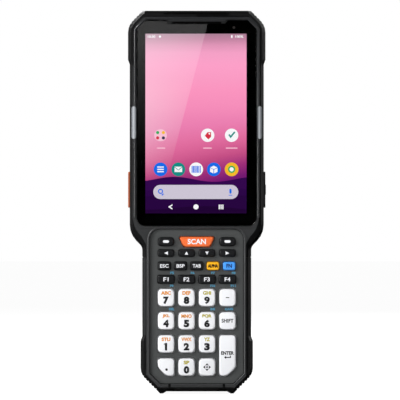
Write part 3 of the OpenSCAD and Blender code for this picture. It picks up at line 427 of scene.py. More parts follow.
flap_black = moulded("flap_moulding", rgb(24, 24, 25), 0.7, bump=0.08, Specular_IOR_Level=0.25)
latch_black = moulded("latch_plastic", rgb(40, 40, 43), 0.5, Specular_IOR_Level=0.35)
button_black = moulded("button_plastic", rgb(26, 26, 28), 0.45, Specular_IOR_Level=0.35)
trigger_orange = moulded("trigger_plastic", rgb(168, 84, 44), 0.48, drift=0.1, Specular_IOR_Level=0.4)
light_guide = moulded("guide_acrylic_painted_shading", rgb(168, 180, 184), 0.3, drift=0.08, bump=0.02, Specular_IOR_Level=0.3,
                      tone_source=guide_painted_shading)
mesh_black = moulded("earpiece_cloth", rgb(8, 8, 8), 0.8, size=4000, Specular_IOR_Level=0.1)
module_black = moulded("module_case", rgb(40, 42, 46), 0.5)
board_green = moulded("board_mask", rgb(34, 96, 56), 0.4)
mat_grey = moulded("mat_silicone", rgb(92, 96, 100), 0.75)
steel = moulded("plated_steel", rgb(190, 192, 196), 0.3, drift=0.05, Metallic=1.0)
screw_steel = moulded("screw_zinc", rgb(110, 112, 116), 0.35, drift=0.1, Metallic=1.0)
spring_steel = moulded("spring_wire", rgb(104, 106, 110), 0.45, drift=0.05, Metallic=1.0)
brass = moulded("insert_metal", rgb(200, 160, 80), 0.3, drift=0.08, Metallic=1.0)
gold = moulded("contact_plating", rgb(236, 190, 100), 0.22, drift=0.05, Metallic=1.0)
POLISHED = {"drift": 0.05, "gloss_break": 0.0, "bump": 0.0}
scan_lens = moulded("scanner_lens", rgb(46, 8, 12), 0.08, **POLISHED)
camera_lens = moulded("camera_glass", rgb(8, 8, 10), 0.06, **POLISHED)
white_cap = moulded("cap_white", rgb(238, 239, 242), 0.22, drift=0.015, gloss_break=0.03, size=900, bump=0.01)
black_cap = moulded("cap_black", rgb(27, 28, 30), 0.4, drift=0.08, gloss_break=0.05, size=900, bump=0.02)
orange_cap = moulded("cap_orange", rgb(240, 110, 52), 0.3, drift=0.04, gloss_break=0.03, size=900, bump=0.02)
yellow_cap = moulded("cap_yellow", rgb(250, 180, 22), 0.3, drift=0.03, gloss_break=0.03, size=900, bump=0.02)
blue_cap = moulded("cap_blue", rgb(70, 156, 246), 0.3, drift=0.04, gloss_break=0.03, size=900, bump=0.02)

ink_black, ink_white, ink_orange, ink_yellow, ink_brown, ink_navy, ink_cyan = [
    moulded("ink_" + name, rgb(*tone), 0.5, drift=drift, bump=0.0) for name, tone, drift in (
        ("black", (24, 24, 28), 0.05), ("white", (238, 240, 244), 0.03), ("orange", (222, 138, 24), 0.05),
        ("yellow", (176, 164, 12), 0.05), ("brown", (34, 20, 4), 0.05), ("navy", (8, 34, 96), 0.05),
        ("cyan", (70, 136, 166), 0.05))]

for name, material in {
    "front_cover": cover_black, "rear_cover": rear_black, "battery_pack": pack_black, "housing_gasket": gasket_black,
    "screen_bezel": bezel_grey, "top_guard": guard_rubber, "bottom_guard": guard_rubber, "port_cover": flap_black,
    "receiver": mesh_black, "led_guides": light_guide, "keypad_plate": plate_grey, "keypad_mat": mat_grey,
    "keypad_board": board_green, "main_board": board_green, "scan_engine": module_black, "camera_module": module_black,
    "loudspeaker": module_black, "scan_window": scan_lens, "camera_window": camera_lens, "battery_latch": latch_black,
    "latch_spring": spring_steel, "usb_port": steel, "cradle_contacts": gold, "housing_screws": screw_steel,
    "threaded_inserts": brass, "scan_trigger_left": trigger_orange, "side_button_right": button_black,
}.items():
    for place in nodes[name].material_slots:
        place.material = material


# ---- rounded pieces

CAD_WELD = 0.000002      # distance in metres within which points are merged
BEAD_WELD = 0.000001
FLAT_ANGLE = 1.5         # faces that differ less, in degrees, are one face
EDGE_ANGLE = 38          # sharper edges than this are rolled over


def softened(source, name, round_over, material, body="housing", segments=3):
    """Twin of a piece with its sharp edges rolled over."""
    twin = copy_of(nodes[source], name)
    edit_all(twin)
    bpy.ops.mesh.remove_doubles(threshold=CAD_WELD)
    bpy.ops.mesh.dissolve_limited(angle_limit=math.radians(FLAT_ANGLE))
    end_edit()
    finish_with(twin, "BEVEL", width=round_over * MM, segments=segments, limit_method="ANGLE",
                angle_limit=math.radians(EDGE_ANGLE), use_clamp_overlap=True)
    smooth(twin, 45)
    dress(twin, material)
    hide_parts(source)
    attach(twin, body)
    return twin


BEZEL_SEAT = -14.6     # the bead of the bezel stands on this depth
bezel = softened("screen_bezel", "bezel_ring", 0.2, bezel_grey)
edit(bezel)
shape = bmesh.from_edit_mesh(bezel.data)
for vertex in shape.verts:
    vertex.co.y = max(vertex.co.y, BEZEL_SEAT * MM)
bmesh.update_edit_mesh(bezel.data)
leave_all()
softened("scan_trigger_left", "trigger_cap", 0.35, trigger_orange, "scan_trigger_left")
softened("side_button_right", "button_cap", 0.35, button_black, "side_button_right")
softened("battery_latch", "latch_slide", 0.25, latch_black, "battery_latch")

# The coil over the latch, rounded and with a mesh of its own
coil = softened("latch_spring", "latch_coil", 0.05, spring_steel, segments=2)
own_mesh(coil)


def bead(name, path, half_width, front, back, material, slot="cover_black"):
    """Round-backed bead that follows a path of points in millimetres across the front."""
    piece = ring([(x, 0, z) for x, z in path], "NOTHING")
    piece.name = name
    edit(piece)
    shape = bmesh.from_edit_mesh(piece.data)
    shape.verts.ensure_lookup_table()
    ends = (shape.verts[0], shape.verts[len(path) - 1])
    pick("EDGE", lambda e: e.verts[0] in ends and e.verts[1] in ends)
    bpy.ops.mesh.delete(type="EDGE")
    end_edit()
    bpy.ops.object.convert(target="CURVE")
    piece = bpy.context.object
    piece.data.bevel_depth = half_width * MM
    piece.data.bevel_resolution = 4
    piece.data.use_fill_caps = True
    bpy.ops.object.convert(target="MESH")
    piece = bpy.context.object
    piece.scale = (1, (back - front) / 2 / half_width, 1)
    piece.location = (0, (front + back) / 2 * MM, 0)
    settle(piece)
    edit_all(piece)
    bpy.ops.mesh.remove_doubles(threshold=BEAD_WELD)
    face_out(piece)
    smooth(piece, 50)
    dress(piece, material)
    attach(piece, "housing")
    return piece


# Bead on the ridge round the keypad, with a chamfer at its foot and broken below the plate
RIDGE_X, RIDGE_LOW, RIDGE_TOP, RIDGE_ROUND = 25.2, 4.5, 86.65, 6.05
RIDGE_CUT_X, RIDGE_CUT_Z = 19.3, 10.4
RIDGE_BEAD = (0.6, -14.45, -13.6)      # half width, front and back
BREAK_IN, BREAK_OUT = 13.6, 14.8
ROUND_STEPS = 8
turns = [math.pi / 2 * i / ROUND_STEPS for i in range(ROUND_STEPS + 1)]
right_path = [(BREAK_OUT, RIDGE_LOW), (RIDGE_CUT_X, RIDGE_LOW), (RIDGE_X, RIDGE_CUT_Z)] + [
    (RIDGE_X - RIDGE_ROUND * (1 - math.cos(turn)), RIDGE_TOP - RIDGE_ROUND * (1 - math.sin(turn))) for turn in turns]
bead("ridge_bead", right_path + [(-x, z) for x, z in reversed(right_path)], *RIDGE_BEAD, bead_black)
bead("ridge_bead_low", [(-BREAK_IN, RIDGE_LOW), (0, RIDGE_LOW), (BREAK_IN, RIDGE_LOW)], *RIDGE_BEAD, bead_black)

# Bead of the bezel, broken at the two light bars
guide_low, guide_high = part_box("led_guides")
BEZEL_X, BEZEL_FOOT, BEZEL_MIDDLE, BEZEL_SHOULDER = 32.2, 92.4, 112, 190.2
BEZEL_TOP_X, BEZEL_TOP = 26.45, 195.95
BEZEL_BEAD = (0.58, -14.99, -14.2)     # half width, front and back
GUIDE_GAP = 0.15
arch = [(BEZEL_X, guide_high.z / MM + GUIDE_GAP), (BEZEL_X, BEZEL_SHOULDER), (BEZEL_TOP_X, BEZEL_TOP)]
bead("bezel_bead", arch + [(-x, z) for x, z in reversed(arch)], *BEZEL_BEAD, bezel_grey, "bezel_grey")
for name, x in (("bezel_bead_left", -BEZEL_X), ("bezel_bead_right", BEZEL_X)):
    bead(name, [(x, BEZEL_FOOT), (x, BEZEL_MIDDLE), (x, guide_low.z / MM - GUIDE_GAP)], *BEZEL_BEAD, bezel_grey,
         "bezel_grey")


# ---- key caps

FLANGE = 0.5           # lip that the plate holds back: its width and its thickness
FLANGE_DEEP = 0.6
CAP_PLAY = 0.3         # both gaps round a cap together
CAP_TOP = 2.5
SCAN_FOOT = 13.6       # width of the scan key at its lower edge
CORNER_CUT = 4.5
PLATE_BACK = -12.0


def key_blank(width, height, corner, rim, shape="plain", bulge=0.0):
    """Cap that faces +Z: rounded corners, rolled rim, and the flange that the plate holds back."""
    cap = block("blank", (-width / 2, -height / 2, 0), (width / 2, height / 2, CAP_TOP))
    if shape == "trapezoid":
        edit(cap)
        pick("VERT", lambda v: v.co.y < 0)
        bpy.ops.transform.resize(value=(SCAN_FOOT / width, 1, 1))
    if shape in ("cut_left", "cut_right"):
        side = 1 if shape == "cut_right" else -1
        edit_all(cap)
        bpy.ops.mesh.bisect(plane_co=(side * (width / 2 - CORNER_CUT) * MM, -height / 2 * MM, 0),
                            plane_no=(side, -1, 0), use_fill=True, clear_outer=True)
    edit(cap, "EDGE")
    pick("EDGE", lambda e: abs(e.verts[0].co.z - e.verts[1].co.z) > MM)
    bpy.ops.mesh.bevel(offset=corner * MM, segments=6, affect="EDGES", clamp_overlap=True)
    if bulge:
        pick("EDGE", lambda e: e.calc_length() > (height - 2 * corner) * 0.8 * MM)
        bpy.ops.mesh.subdivide(number_cuts=5)
        bpy.ops.object.mode_set(mode="OBJECT")
        finish_with(cap, "CAST", cast_type="CYLINDER", factor=bulge, use_z=False)
        fit = [wanted * MM / now for wanted, now in zip((width, height), cap.dimensions)]
        edit_all(cap)
        bpy.ops.transform.resize(value=(fit[0], fit[1], 1))
    pick("EDGE", lambda e: min(e.verts[0].co.z, e.verts[1].co.z) > (CAP_TOP - 0.01) * MM)
    bpy.ops.mesh.bevel(offset=rim * MM, segments=4, affect="EDGES", clamp_overlap=True)
    pick("FACE", lambda f: f.normal.z < -0.9)
    bpy.ops.mesh.extrude_region_move(TRANSFORM_OT_translate={"value": (0, 0, 0)})
    bpy.ops.transform.resize(value=(1 + 2 * FLANGE / width, 1 + 2 * FLANGE / height, 1))
    bpy.ops.mesh.extrude_region_move(TRANSFORM_OT_translate={"value": (0, 0, -FLANGE_DEEP * MM)})
    end_edit()
    smooth(cap)
    return cap


def cap_size(name):
    low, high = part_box(name)
    return (high.x - low.x) / MM - 2 * FLANGE - CAP_PLAY, (high.z - low.z) / MM - 2 * FLANGE - CAP_PLAY


# Each kind of cap: the key it is measured on, rounding of corners and rim, outline, and bulge of the sides
KINDS = {
    "number": ("key_7", 1.9, 0.85, "plain", 0.1),
    "enter": ("key_enter", 1.7, 0.75, "cut_right", 0.0),
    "dot": ("key_dot", 1.7, 0.75, "cut_left", 0.0),
    "scan": ("key_scan", 1.5, 0.6, "trapezoid", 0.0),
    "arrow": ("key_left", 1.1, 0.45, "plain", 0.0),
    "soft": ("key_soft_left", 1.6, 0.5, "plain", 0.0),
    "five": ("key_esc", 1.0, 0.45, "plain", 0.0),
    "wide": ("key_f1", 1.0, 0.45, "plain", 0.0),
}
BLANKS = {kind: key_blank(*cap_size(model), corner, rim, outline, bulge)
          for kind, (model, corner, rim, outline, bulge) in KINDS.items()}

CAPS = {key: (kind, material) for kind, material, keys in (
    ("soft", black_cap, "soft_left"), ("scan", orange_cap, "scan"), ("soft", black_cap, "soft_right"),
    ("arrow", black_cap, "left up down right"), ("five", black_cap, "esc bsp tab"), ("five", yellow_cap, "alpha"),
    ("five", blue_cap, "fn"), ("wide", black_cap, "f1 f2 f3 f4"),
    ("number", white_cap, "7 8 9 minus 4 5 6 shift 1 2 3"), ("enter", white_cap, "enter"), ("dot", white_cap, "dot"),
    ("number", white_cap, "0 nav"),
) for key in keys.split()}

for key, (kind, material) in CAPS.items():
    body = "key_" + key
    low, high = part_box(body)
    cap = copy_of(BLANKS[kind], "cap_" + key)
    cap.rotation_euler = (math.radians(90), 0, 0)
    cap.location = ((low.x + high.x) / 2, PLATE_BACK * MM, (low.z + high.z) / 2)
    settle(cap)
    dress(cap, material)
    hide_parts(body)
    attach(cap, body)

leave_all()
for blank in BLANKS.values():
    bpy.data.objects.remove(blank)


# ---- printed legends

FONT_SIZE = 0.01
PRINT_GAP = 0.02       # prints lie this far in front of what carries them


def stand_up(piece, x, z, y, material):
    """Turns flat work to the front and puts it on a place given in millimetres."""
    piece.rotation_euler = (math.radians(90), 0, 0)
    piece.location = (x * MM, y * MM, z * MM)
    settle(piece)
    dress(piece, material)
    return piece


def lettering(text, x, z, y, height, material, weight, width):
    """Flat print that faces the front, centred on a place given in millimetres."""
    leave_all()
    bpy.ops.object.text_add()
    piece = bpy.context.object
    piece.data.body = text
    piece.data.align_x = "CENTER"
    piece.data.size = FONT_SIZE
    piece.data.offset = weight * FONT_SIZE
    piece.data.resolution_u = 4
    bpy.ops.object.convert(target="MESH")
    piece = bpy.context.object
    corners = [v.co for v in piece.data.vertices]
    low = [min(c[i] for c in corners) for i in (0, 1)]
    high = [max(c[i] for c in corners) for i in (0, 1)]
    edit_all(piece)
    bpy.ops.transform.translate(value=(-(low[0] + high[0]) / 2, -(low[1] + high[1]) / 2, 0))
    end_edit()
    piece.scale = (width * MM / (high[0] - low[0]), height * MM / (high[1] - low[1]), 1)
    return stand_up(piece, x, z, y, material)


def flat_shape(points, x, z, y, material):
    """Flat printed sign through a ring of points given in millimetres."""
    piece = ring([(a, b, 0) for a, b in points])
    face_out(piece)
    return stand_up(piece, x, z, y, material)


def pill(width, height, steps=8):
    r = height / 2
    reach = width / 2 - r
    right = [(reach + r * math.sin(math.pi * i / steps), -r * math.cos(math.pi * i / steps)) for i in range(steps + 1)]
    return right + [(-a, -b) for a, b in right]


def bar(width, height):
    return [(-width / 2, -height / 2), (width / 2, -height / 2), (width / 2, height / 2), (-width / 2, height / 2)]


def ring_of(radius, count=24):
    turns = [2 * math.pi * i / count for i in range(count)]
    return [(radius * math.cos(turn), radius * math.sin(turn)) for turn in turns]


PRINT_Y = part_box("key_7")[0].y / MM - PRINT_GAP


def centre_of(key):
    low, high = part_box("key_" + key)
    return (low.x + high.x) / 2 / MM, (low.z + high.z) / 2 / MM


def on_key(key, parts):
    piece = join(parts, "legend_" + key)
    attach(piece, "key_" + key)
    return piece


# Number keys: letters above the digit, their width and ink
DIGIT_DROP, DIGIT_TALL, DIGIT_WIDE = 1.45, 3.9, 2.9
LETTERS_RISE, LETTERS_TALL = 2.4, 1.95
DIGITS = {"7": ("ABC", 5.2, ink_orange), "8": ("DEF", 4.3, ink_orange), "9": ("GHI", 4.2, ink_yellow),
          "4": ("JKL", 3.8, ink_orange), "5": ("MNO", 5.4, ink_orange), "6": ("PQR", 4.9, ink_yellow),
          "1": ("STU", 4.6, ink_orange), "2": ("VWX", 5.4, ink_orange), "3": ("YZ", 3.1, ink_yellow),
          "0": ("SP", 3.0, ink_yellow)}
for key, (letters, width, ink) in DIGITS.items():
    x, z = centre_of(key)
    parts = [lettering(key, x, z - DIGIT_DROP, PRINT_Y, DIGIT_TALL, ink_black, 0.055 if key == "9" else 0.068,
                       1.15 if key == "1" else DIGIT_WIDE),
             lettering(letters, x, z + LETTERS_RISE, PRINT_Y, LETTERS_TALL, ink, 0.05, width)]
    if key == "1":
        parts.append(flat_shape([(-1.1, 1.55), (0.3, 1.9), (-0.3, 1.9), (-0.3, 1.35), (-1.1, 1.0)],
                                x, z - DIGIT_DROP, PRINT_Y, ink_black))
    on_key(key, parts)

# Keys with a word: height, width, ink and weight of the letters
for key, word, tall, wide, ink, weight in [
        ("esc", "ESC", 1.85, 4.5, ink_white, 0.018), ("bsp", "BSP", 1.85, 4.2, ink_white, 0.018),
        ("tab", "TAB", 1.85, 4.3, ink_white, 0.018), ("alpha", "ALPHA", 1.8, 5.4, ink_brown, 0.075),
        ("fn", "FN", 2.1, 2.9, ink_navy, 0.04), ("f1", "F1", 2.15, 2.7, ink_white, 0.018),
        ("f2", "F2", 2.15, 3.0, ink_white, 0.018), ("f3", "F3", 2.15, 3.0, ink_white, 0.018),
        ("f4", "F4", 2.15, 3.0, ink_white, 0.018), ("scan", "SCAN", 2.8, 9.6, ink_white, 0.03),
        ("shift", "SHIFT", 2.0, 6.2, ink_black, 0.03)]:
    x, z = centre_of(key)
    on_key(key, [lettering(word, x, z + (0.1 if key == "scan" else 0), PRINT_Y, tall, ink, weight, wide)])

# Keys with a sign: place beside the middle of the key, and ink
for key, aside, above, ink, points in [
        ("soft_left", 0, 0.15, ink_white, pill(3.2, 1.35)), ("soft_right", 0, 0.15, ink_white, pill(3.2, 1.35)),
        ("left", 0, 0, ink_white, [(1, 0.9), (1, -0.9), (-0.9, 0)]),
        ("right", 0, 0, ink_white, [(-1, -0.9), (-1, 0.9), (0.9, 0)]),
        ("up", 0, 0, ink_white, [(-0.9, -0.8), (0.9, -0.8), (0, 0.9)]),
        ("down", 0, 0, ink_white, [(0.9, 0.8), (-0.9, 0.8), (0, -0.9)]),
        ("minus", 0, 0, ink_black, bar(1.8, 0.44)), ("dot", 0.3, -1.3, ink_black, ring_of(0.65))]:
    x, z = centre_of(key)
    on_key(key, [flat_shape(points, x + aside, z + above, PRINT_Y, ink)])
x, z = centre_of("nav")
NAV_FOOT, NAV_TIP = 0.95, 2.0
signs = [flat_shape([(a * NAV_FOOT + b * NAV_FOOT, b * NAV_FOOT - a * NAV_FOOT), (a * NAV_TIP, b * NAV_TIP),
                     (a * NAV_FOOT - b * NAV_FOOT, b * NAV_FOOT + a * NAV_FOOT)],
                    x, z, PRINT_Y, ink_black) for a, b in ((1, 0), (0, 1), (-1, 0), (0, -1))]
on_key("nav", signs + [flat_shape([(-0.6, 0), (0, -0.6), (0.6, 0), (0, 0.6)], x, z, PRINT_Y, ink_black)])
x, z = centre_of("enter")
on_key("enter", [lettering("ENTER", x, z + 1.3, PRINT_Y, 1.9, ink_black, 0.045, 6.7),
                 flat_shape([(-1.8, 0), (-0.7, -0.85), (-0.7, -0.25), (1.8, -0.25), (1.8, 0.95), (1.3, 0.95),
                             (1.3, 0.25), (-0.7, 0.25), (-0.7, 0.85)], x, z - 1.0, PRINT_Y, ink_black)])

# Second functions, printed on the plate: place beside the key, word and width
PLATE_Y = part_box("keypad_plate")[0].y / MM - PRINT_GAP
PLATE_TALL, PLATE_WEIGHT = 1.3, 0.06
prints = []
for key, aside, above, word, wide in (
        ("f1", 3.2, 3.35, "F5", 2.0), ("f2", 3.2, 3.35, "F6", 2.0), ("f3", 3.2, 3.35, "F7", 2.0),
        ("f4", 3.2, 3.35, "F8", 2.0), ("7", 3.0, 6.1, "F9", 1.9), ("9", 3.0, 6.1, "F10", 2.6),
        ("minus", 3.0, 6.1, "F11", 2.6), ("4", 3.0, 6.05, "DEL", 2.8), ("6", 3.0, 6.05, "INS", 2.4),
        ("shift", 0.8, 6.05, "CAPS", 4.4)):
    x, z = centre_of(key)
    prints.append(lettering(word, x + aside, z + above, PLATE_Y, PLATE_TALL, ink_cyan, PLATE_WEIGHT, wide))
plate_print = join(prints, "plate_print")
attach(plate_print, "housing")


# ---- glass and picture

screen_low, screen_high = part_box("display_panel")
glass_low, glass_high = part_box("touch_glass")
PANEL_Y = screen_low.y / MM
LIT_LEFT, LIT_RIGHT = -26.8, 26.0
LIT_LOW, LIT_HIGH = screen_low.z / MM + 1.9, screen_high.z / MM - 2.1
GLASS_CUT = 5.1         # cut upper corners and the small rounding at their ends
CUT_ROUND = 0.9
GLASS_ROUND = 4.2       # round lower corners
NOTCH_HALF = 14.8       # notch over the earpiece: half width, depth, and how far its sides lean out
NOTCH_DEEP = 1.6
NOTCH_LEAN = 2.6
GLASS_BACK = PANEL_Y - 0.2


def glass_slab(name, front, back, shrink):
    """Slab with the cut upper corners and round lower corners of the cover glass."""
    piece = block(name, (glass_low.x / MM + shrink, front, glass_low.z / MM + shrink),
                  (glass_high.x / MM - shrink, back, glass_high.z / MM - shrink))
    edit(piece, "EDGE")
    middle = (glass_low.z + glass_high.z) / 2
    deep = (back - front) * 0.9 * MM

    def pick_corners(upper):
        pick("EDGE", lambda e: abs(e.verts[0].co.y - e.verts[1].co.y) > deep and (e.verts[0].co.z > middle) == upper)

    pick_corners(True)
    bpy.ops.mesh.bevel(offset=GLASS_CUT * math.sqrt(0.5) * MM, segments=1, affect="EDGES")
    pick_corners(True)
    bpy.ops.mesh.bevel(offset=CUT_ROUND * MM, segments=4, affect="EDGES")
    pick_corners(False)
    bpy.ops.mesh.bevel(offset=GLASS_ROUND * MM, segments=10, affect="EDGES")
    end_edit()
    sound_slot = block("sound_slot", (-NOTCH_HALF, front - 1, glass_high.z / MM - NOTCH_DEEP),
                       (NOTCH_HALF, back + 1, glass_high.z / MM + 1))
    edit(sound_slot)
    pick("VERT", lambda v: v.co.z > glass_high.z)
    bpy.ops.transform.resize(value=((NOTCH_HALF + NOTCH_LEAN) / NOTCH_HALF, 1, 1))
    end_edit()
    finish_with(piece, "BOOLEAN", operation="DIFFERENCE", object=sound_slot, solver="EXACT")
    leave_all()
    bpy.data.objects.remove(sound_slot)
    return piece


glass = glass_slab("cover_glass", glass_low.y / MM, GLASS_BACK, 0)
edit(glass, "EDGE")
pick("EDGE", lambda e: e.verts[0].co.y < glass_low.y + 0.1 * MM and e.verts[1].co.y < glass_low.y + 0.1 * MM)
bpy.ops.mesh.bevel(offset=0.25 * MM, segments=3, affect="EDGES")
bpy.ops.object.mode_set(mode="OBJECT")
clear = new_material("clear_glass", Roughness=0.0, Transmission_Weight=1.0, IOR=1.5, Base_Color=(1, 1, 1, 1))[0]
dress(glass, clear)
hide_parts("touch_glass")
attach(glass, "housing")


# Crest height, swing, wave and phase of each dune, and its colour
DUNES = [(111.9, 1.3, 150.0, 3.34, (52, 9, 78)), (107.4, 1.3, 105.0, 1.0, (45, 8, 72)),
         (102.4, 1.1, 140.0, 4.2, (40, 7, 64)), (97.0, 0.9, 110.0, 1.2, (33, 5, 52))]
DUNE_BLUR = 0.0001
UNLIT = (0.0006, 0.0006, 0.0007)


def up_the_screen(stops):
    """Stops at heights in millimetres, as shares of the lit height."""
    return [((at - LIT_LOW) / (LIT_HIGH - LIT_LOW), value) for at, value in stops]


def picture():
    """Evening sky over rolling dunes with a painted reflection of slanting glare over it, with its colours on object
    coordinates.
    """
    material, tree, shader = new_material("evening_picture_painted_glare", Roughness=0.4, Specular_IOR_Level=0.0,
                                          Emission_Strength=SCREEN_GLOW, Base_Color=(0, 0, 0, 1))
    x, _, z = coordinates(tree)
    # colours lean to one side in the lower half
    lean = maths(tree, "MULTIPLY", x, map_range(tree, z, 0.15, 0.12, 0.0, -0.25))
    height = map_range(tree, maths(tree, "ADD", z, lean), LIT_LOW * MM, LIT_HIGH * MM)
    shade = ramp(tree, height, up_the_screen((at, rgb(*colour)) for at, colour in (
        (LIT_LOW, (96, 24, 100)), (108, (117, 27, 114)), (114, (160, 48, 122)), (121, (198, 80, 134)),
        (128, (220, 102, 153)), (132, (228, 112, 162)), (140, (237, 128, 178)), (150, (248, 143, 188)),
        (158, (253, 150, 193)), (165, (253, 157, 198)), (172, (255, 162, 203)), (178, (246, 162, 200)),
        (182, (224, 150, 184)), (185, (196, 134, 163)), (LIT_HIGH, (172, 128, 150)))))
    # painted reflection: pale slanting sheet of mirrored glare over the left half
    slant = maths(tree, "MULTIPLY_ADD", z, GLARE_SLOPE, (GLARE_TOP[0] - GLARE_TOP[1] * GLARE_SLOPE) * MM)
    depth = maths(tree, "SUBTRACT", slant, x)
    painted_glare_amount = ramp(tree, height, up_the_screen((
        (118, 0.0), (140, 0.95), (150, 1.0), (158, 0.9), (165, 0.66), (172, 0.6))))
    painted_glare = all_of(tree, maths(tree, "MULTIPLY_ADD", depth, 7.5, 0.1), painted_glare_amount, compare(tree, depth, 0))
    shade = paint_over(tree, shade, painted_glare, (1, 1, 1))
    for crest, swing, wave, phase, colour in DUNES:
        sine = maths(tree, "SINE", maths(tree, "MULTIPLY_ADD", x, wave, phase))
        line = maths(tree, "MULTIPLY_ADD", sine, swing * MM, crest * MM)
        edge = map_range(tree, maths(tree, "SUBTRACT", line, z), -DUNE_BLUR, DUNE_BLUR)
        shade = paint_over(tree, shade, edge, rgb(*colour))
    inside = all_of(tree, compare(tree, x, LIT_LEFT), compare(tree, x, LIT_RIGHT, False),
                    compare(tree, z, LIT_LOW), compare(tree, z, LIT_HIGH, False))
    wire(tree, paint_over(tree, UNLIT, inside, shade), shader.inputs["Emission Color"])
    return material


for place in nodes["display_panel"].material_slots:
    place.material = picture()

# Border print: a thin frame between the glass and the panel
border_black = moulded("border_print", rgb(5, 5, 6), 0.3, drift=0.05, bump=0.0, Specular_IOR_Level=0.0)
border = glass_slab("glass_border", GLASS_BACK + 0.02, GLASS_BACK + 0.06, 0.1)
opening = block("opening", (LIT_LEFT, PANEL_Y - 1, LIT_LOW), (LIT_RIGHT, PANEL_Y + 1, LIT_HIGH))
finish_with(border, "BOOLEAN", operation="DIFFERENCE", object=opening, solver="EXACT")
leave_all()
bpy.data.objects.remove(opening)
dress(border, border_black)
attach(border, "housing")

# Signs on the screen
sign_white, sign_blue, sign_teal, sign_red, sign_yellow, sign_green, sign_lilac, sign_ink, sign_label = [
    glowing("sign_" + name, rgb(*tone)) for name, tone in (
        ("white", (250, 250, 252)), ("blue", (24, 108, 232)), ("teal", (24, 140, 132)), ("red", (214, 52, 72)),
        ("yellow", (246, 186, 44)), ("green", (52, 172, 96)), ("lilac", (206, 199, 214)), ("ink", (60, 58, 86)),
        ("label", (250, 196, 216)))]
SIGNS = []
SIGN_STEP = 0.03


def sign(points, x, z, material, layer=1):
    """Flat sign; each layer lies a little nearer to the glass."""
    SIGNS.append(flat_shape(points, x, z, PANEL_Y - SIGN_STEP * layer, material))


DOCK_Z = 117.1
DOCK = [-18.9, -9.6, -0.3, 8.9, 18.2]
for x, disc in zip(DOCK, (sign_blue, sign_teal, sign_white, sign_blue, sign_yellow)):
    sign(ring_of(3.6, 32), x, DOCK_Z, disc)
for i in (-1, 0, 1):
    sign(bar(3.4, 0.6), DOCK[0], DOCK_Z + 1.2 * i, sign_white, 2)
sign(bar(4, 2.8), DOCK[1], DOCK_Z, sign_white, 2)
sign([(-2, 1.0), (0, -0.6), (2, 1.0), (2, 1.4), (0, -0.2), (-2, 1.4)], DOCK[1], DOCK_Z, sign_teal, 3)
for x, width in ((-2.1, 0.5), (-1.2, 0.8), (-0.3, 0.4), (0.5, 0.7), (1.3, 0.4), (2.1, 0.5)):
    sign(bar(width, 3.6), DOCK[2] + x, DOCK_Z, sign_blue, 2)
sign([(-1.9, -1.3), (0, -2.2), (1.9, -1.3), (1.9, 1.0), (0, 1.9), (-1.9, 1.0)], DOCK[3], DOCK_Z, sign_white, 2)
sign([(-1.9, 0.7), (-0.2, -0.1), (-0.2, -2.2), (0.2, -2.2), (0.2, -0.1), (1.9, 0.7), (1.9, 1.0), (0, 0.1),
      (-1.9, 1.0)], DOCK[3], DOCK_Z, sign_blue, 3)
sign(ring_of(1.9, 24), DOCK[4], DOCK_Z, sign_green, 2)
sign(ring_of(1.1, 20), DOCK[4], DOCK_Z, sign_white, 3)

UPPER_Z = 134.9
UPPER_MIDDLE = 5.7
NAMES_Z = 128.2
sign(pill(6.6, 6.2, 10), DOCK[0], UPPER_Z, sign_label)
for a, b, tint in ((-1.5, 1.4, sign_green), (1.5, 1.4, sign_yellow), (-1.5, -1.4, sign_red), (1.5, -1.4, sign_ink)):
    sign(ring_of(0.85, 16), DOCK[0] + a, UPPER_Z + b, tint, 2)
sign(ring_of(3.5, 32), UPPER_MIDDLE, UPPER_Z, sign_white)
sign([(-1.5, -0.3), (0.4, -2.2), (1.8, -0.8), (1.8, 1.6), (-0.1, 1.6)], UPPER_MIDDLE, UPPER_Z, sign_red, 2)
sign(ring_of(0.45, 12), 6.6, UPPER_Z + 0.8, sign_white, 3)
sign(ring_of(3.5, 32), DOCK[4], UPPER_Z, sign_white)
sign([(-1.7, 0.1), (-0.5, -1.6), (2.0, 1.5), (1.3, 2.0), (-0.5, -0.2), (-1.1, 0.7)], DOCK[4], UPPER_Z, sign_teal, 2)
for x, width in ((-18.6, 4.4), (5.6, 4.6), (18.2, 6.2)):
    sign(pill(width, 0.55, 4), x, NAMES_Z, sign_label)

SEARCH_Z = 105.3
VOICE_X = 17.6
sign(pill(44.4, 7.4, 14), -0.5, SEARCH_Z, sign_lilac)
sign(ring_of(1.35, 20), DOCK[0], SEARCH_Z + 0.3, sign_blue, 2)
sign(ring_of(0.8, 16), DOCK[0], SEARCH_Z + 0.3, sign_lilac, 3)
sign([(-0.3, 0.2), (0.2, -0.3), (1.1, 0.6), (0.7, 1.0)], -18.2, SEARCH_Z - 1.7, sign_blue, 2)
sign([(y, -x) for x, y in pill(2.6, 1.1, 6)], VOICE_X, SEARCH_Z + 0.4, sign_blue, 2)
sign(bar(1.9, 0.35), VOICE_X, SEARCH_Z - 1.7, sign_blue, 2)

NAV_Z = 97.5
sign([(-1.4, 0), (0.9, -1.4), (0.9, -0.7), (-0.3, 0), (0.9, 0.7), (0.9, 1.4)], -13.6, NAV_Z, sign_white)
sign(ring_of(1.35, 24), -0.4, NAV_Z, sign_white)
for i in (-1, 0, 1):
    sign(bar(0.6, 2.4), 12.7 + 0.95 * i, NAV_Z, sign_white)

STATUS_Z = 186.4
STATUS_TALL, STATUS_WEIGHT = 1.3, 0.03
for text, x, wide in (("10:30", -23.6, 4.0), ("100%", 22.2, 4.2)):
    SIGNS.append(lettering(text, x, STATUS_Z, PANEL_Y - SIGN_STEP, STATUS_TALL, sign_white, STATUS_WEIGHT, wide))
sign(ring_of(0.6, 12), -19.2, STATUS_Z, sign_white)
sign(bar(0.8, 1.5), 18.3, STATUS_Z, sign_white)
screen_signs = join(SIGNS, "screen_signs")
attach(screen_signs, "housing")

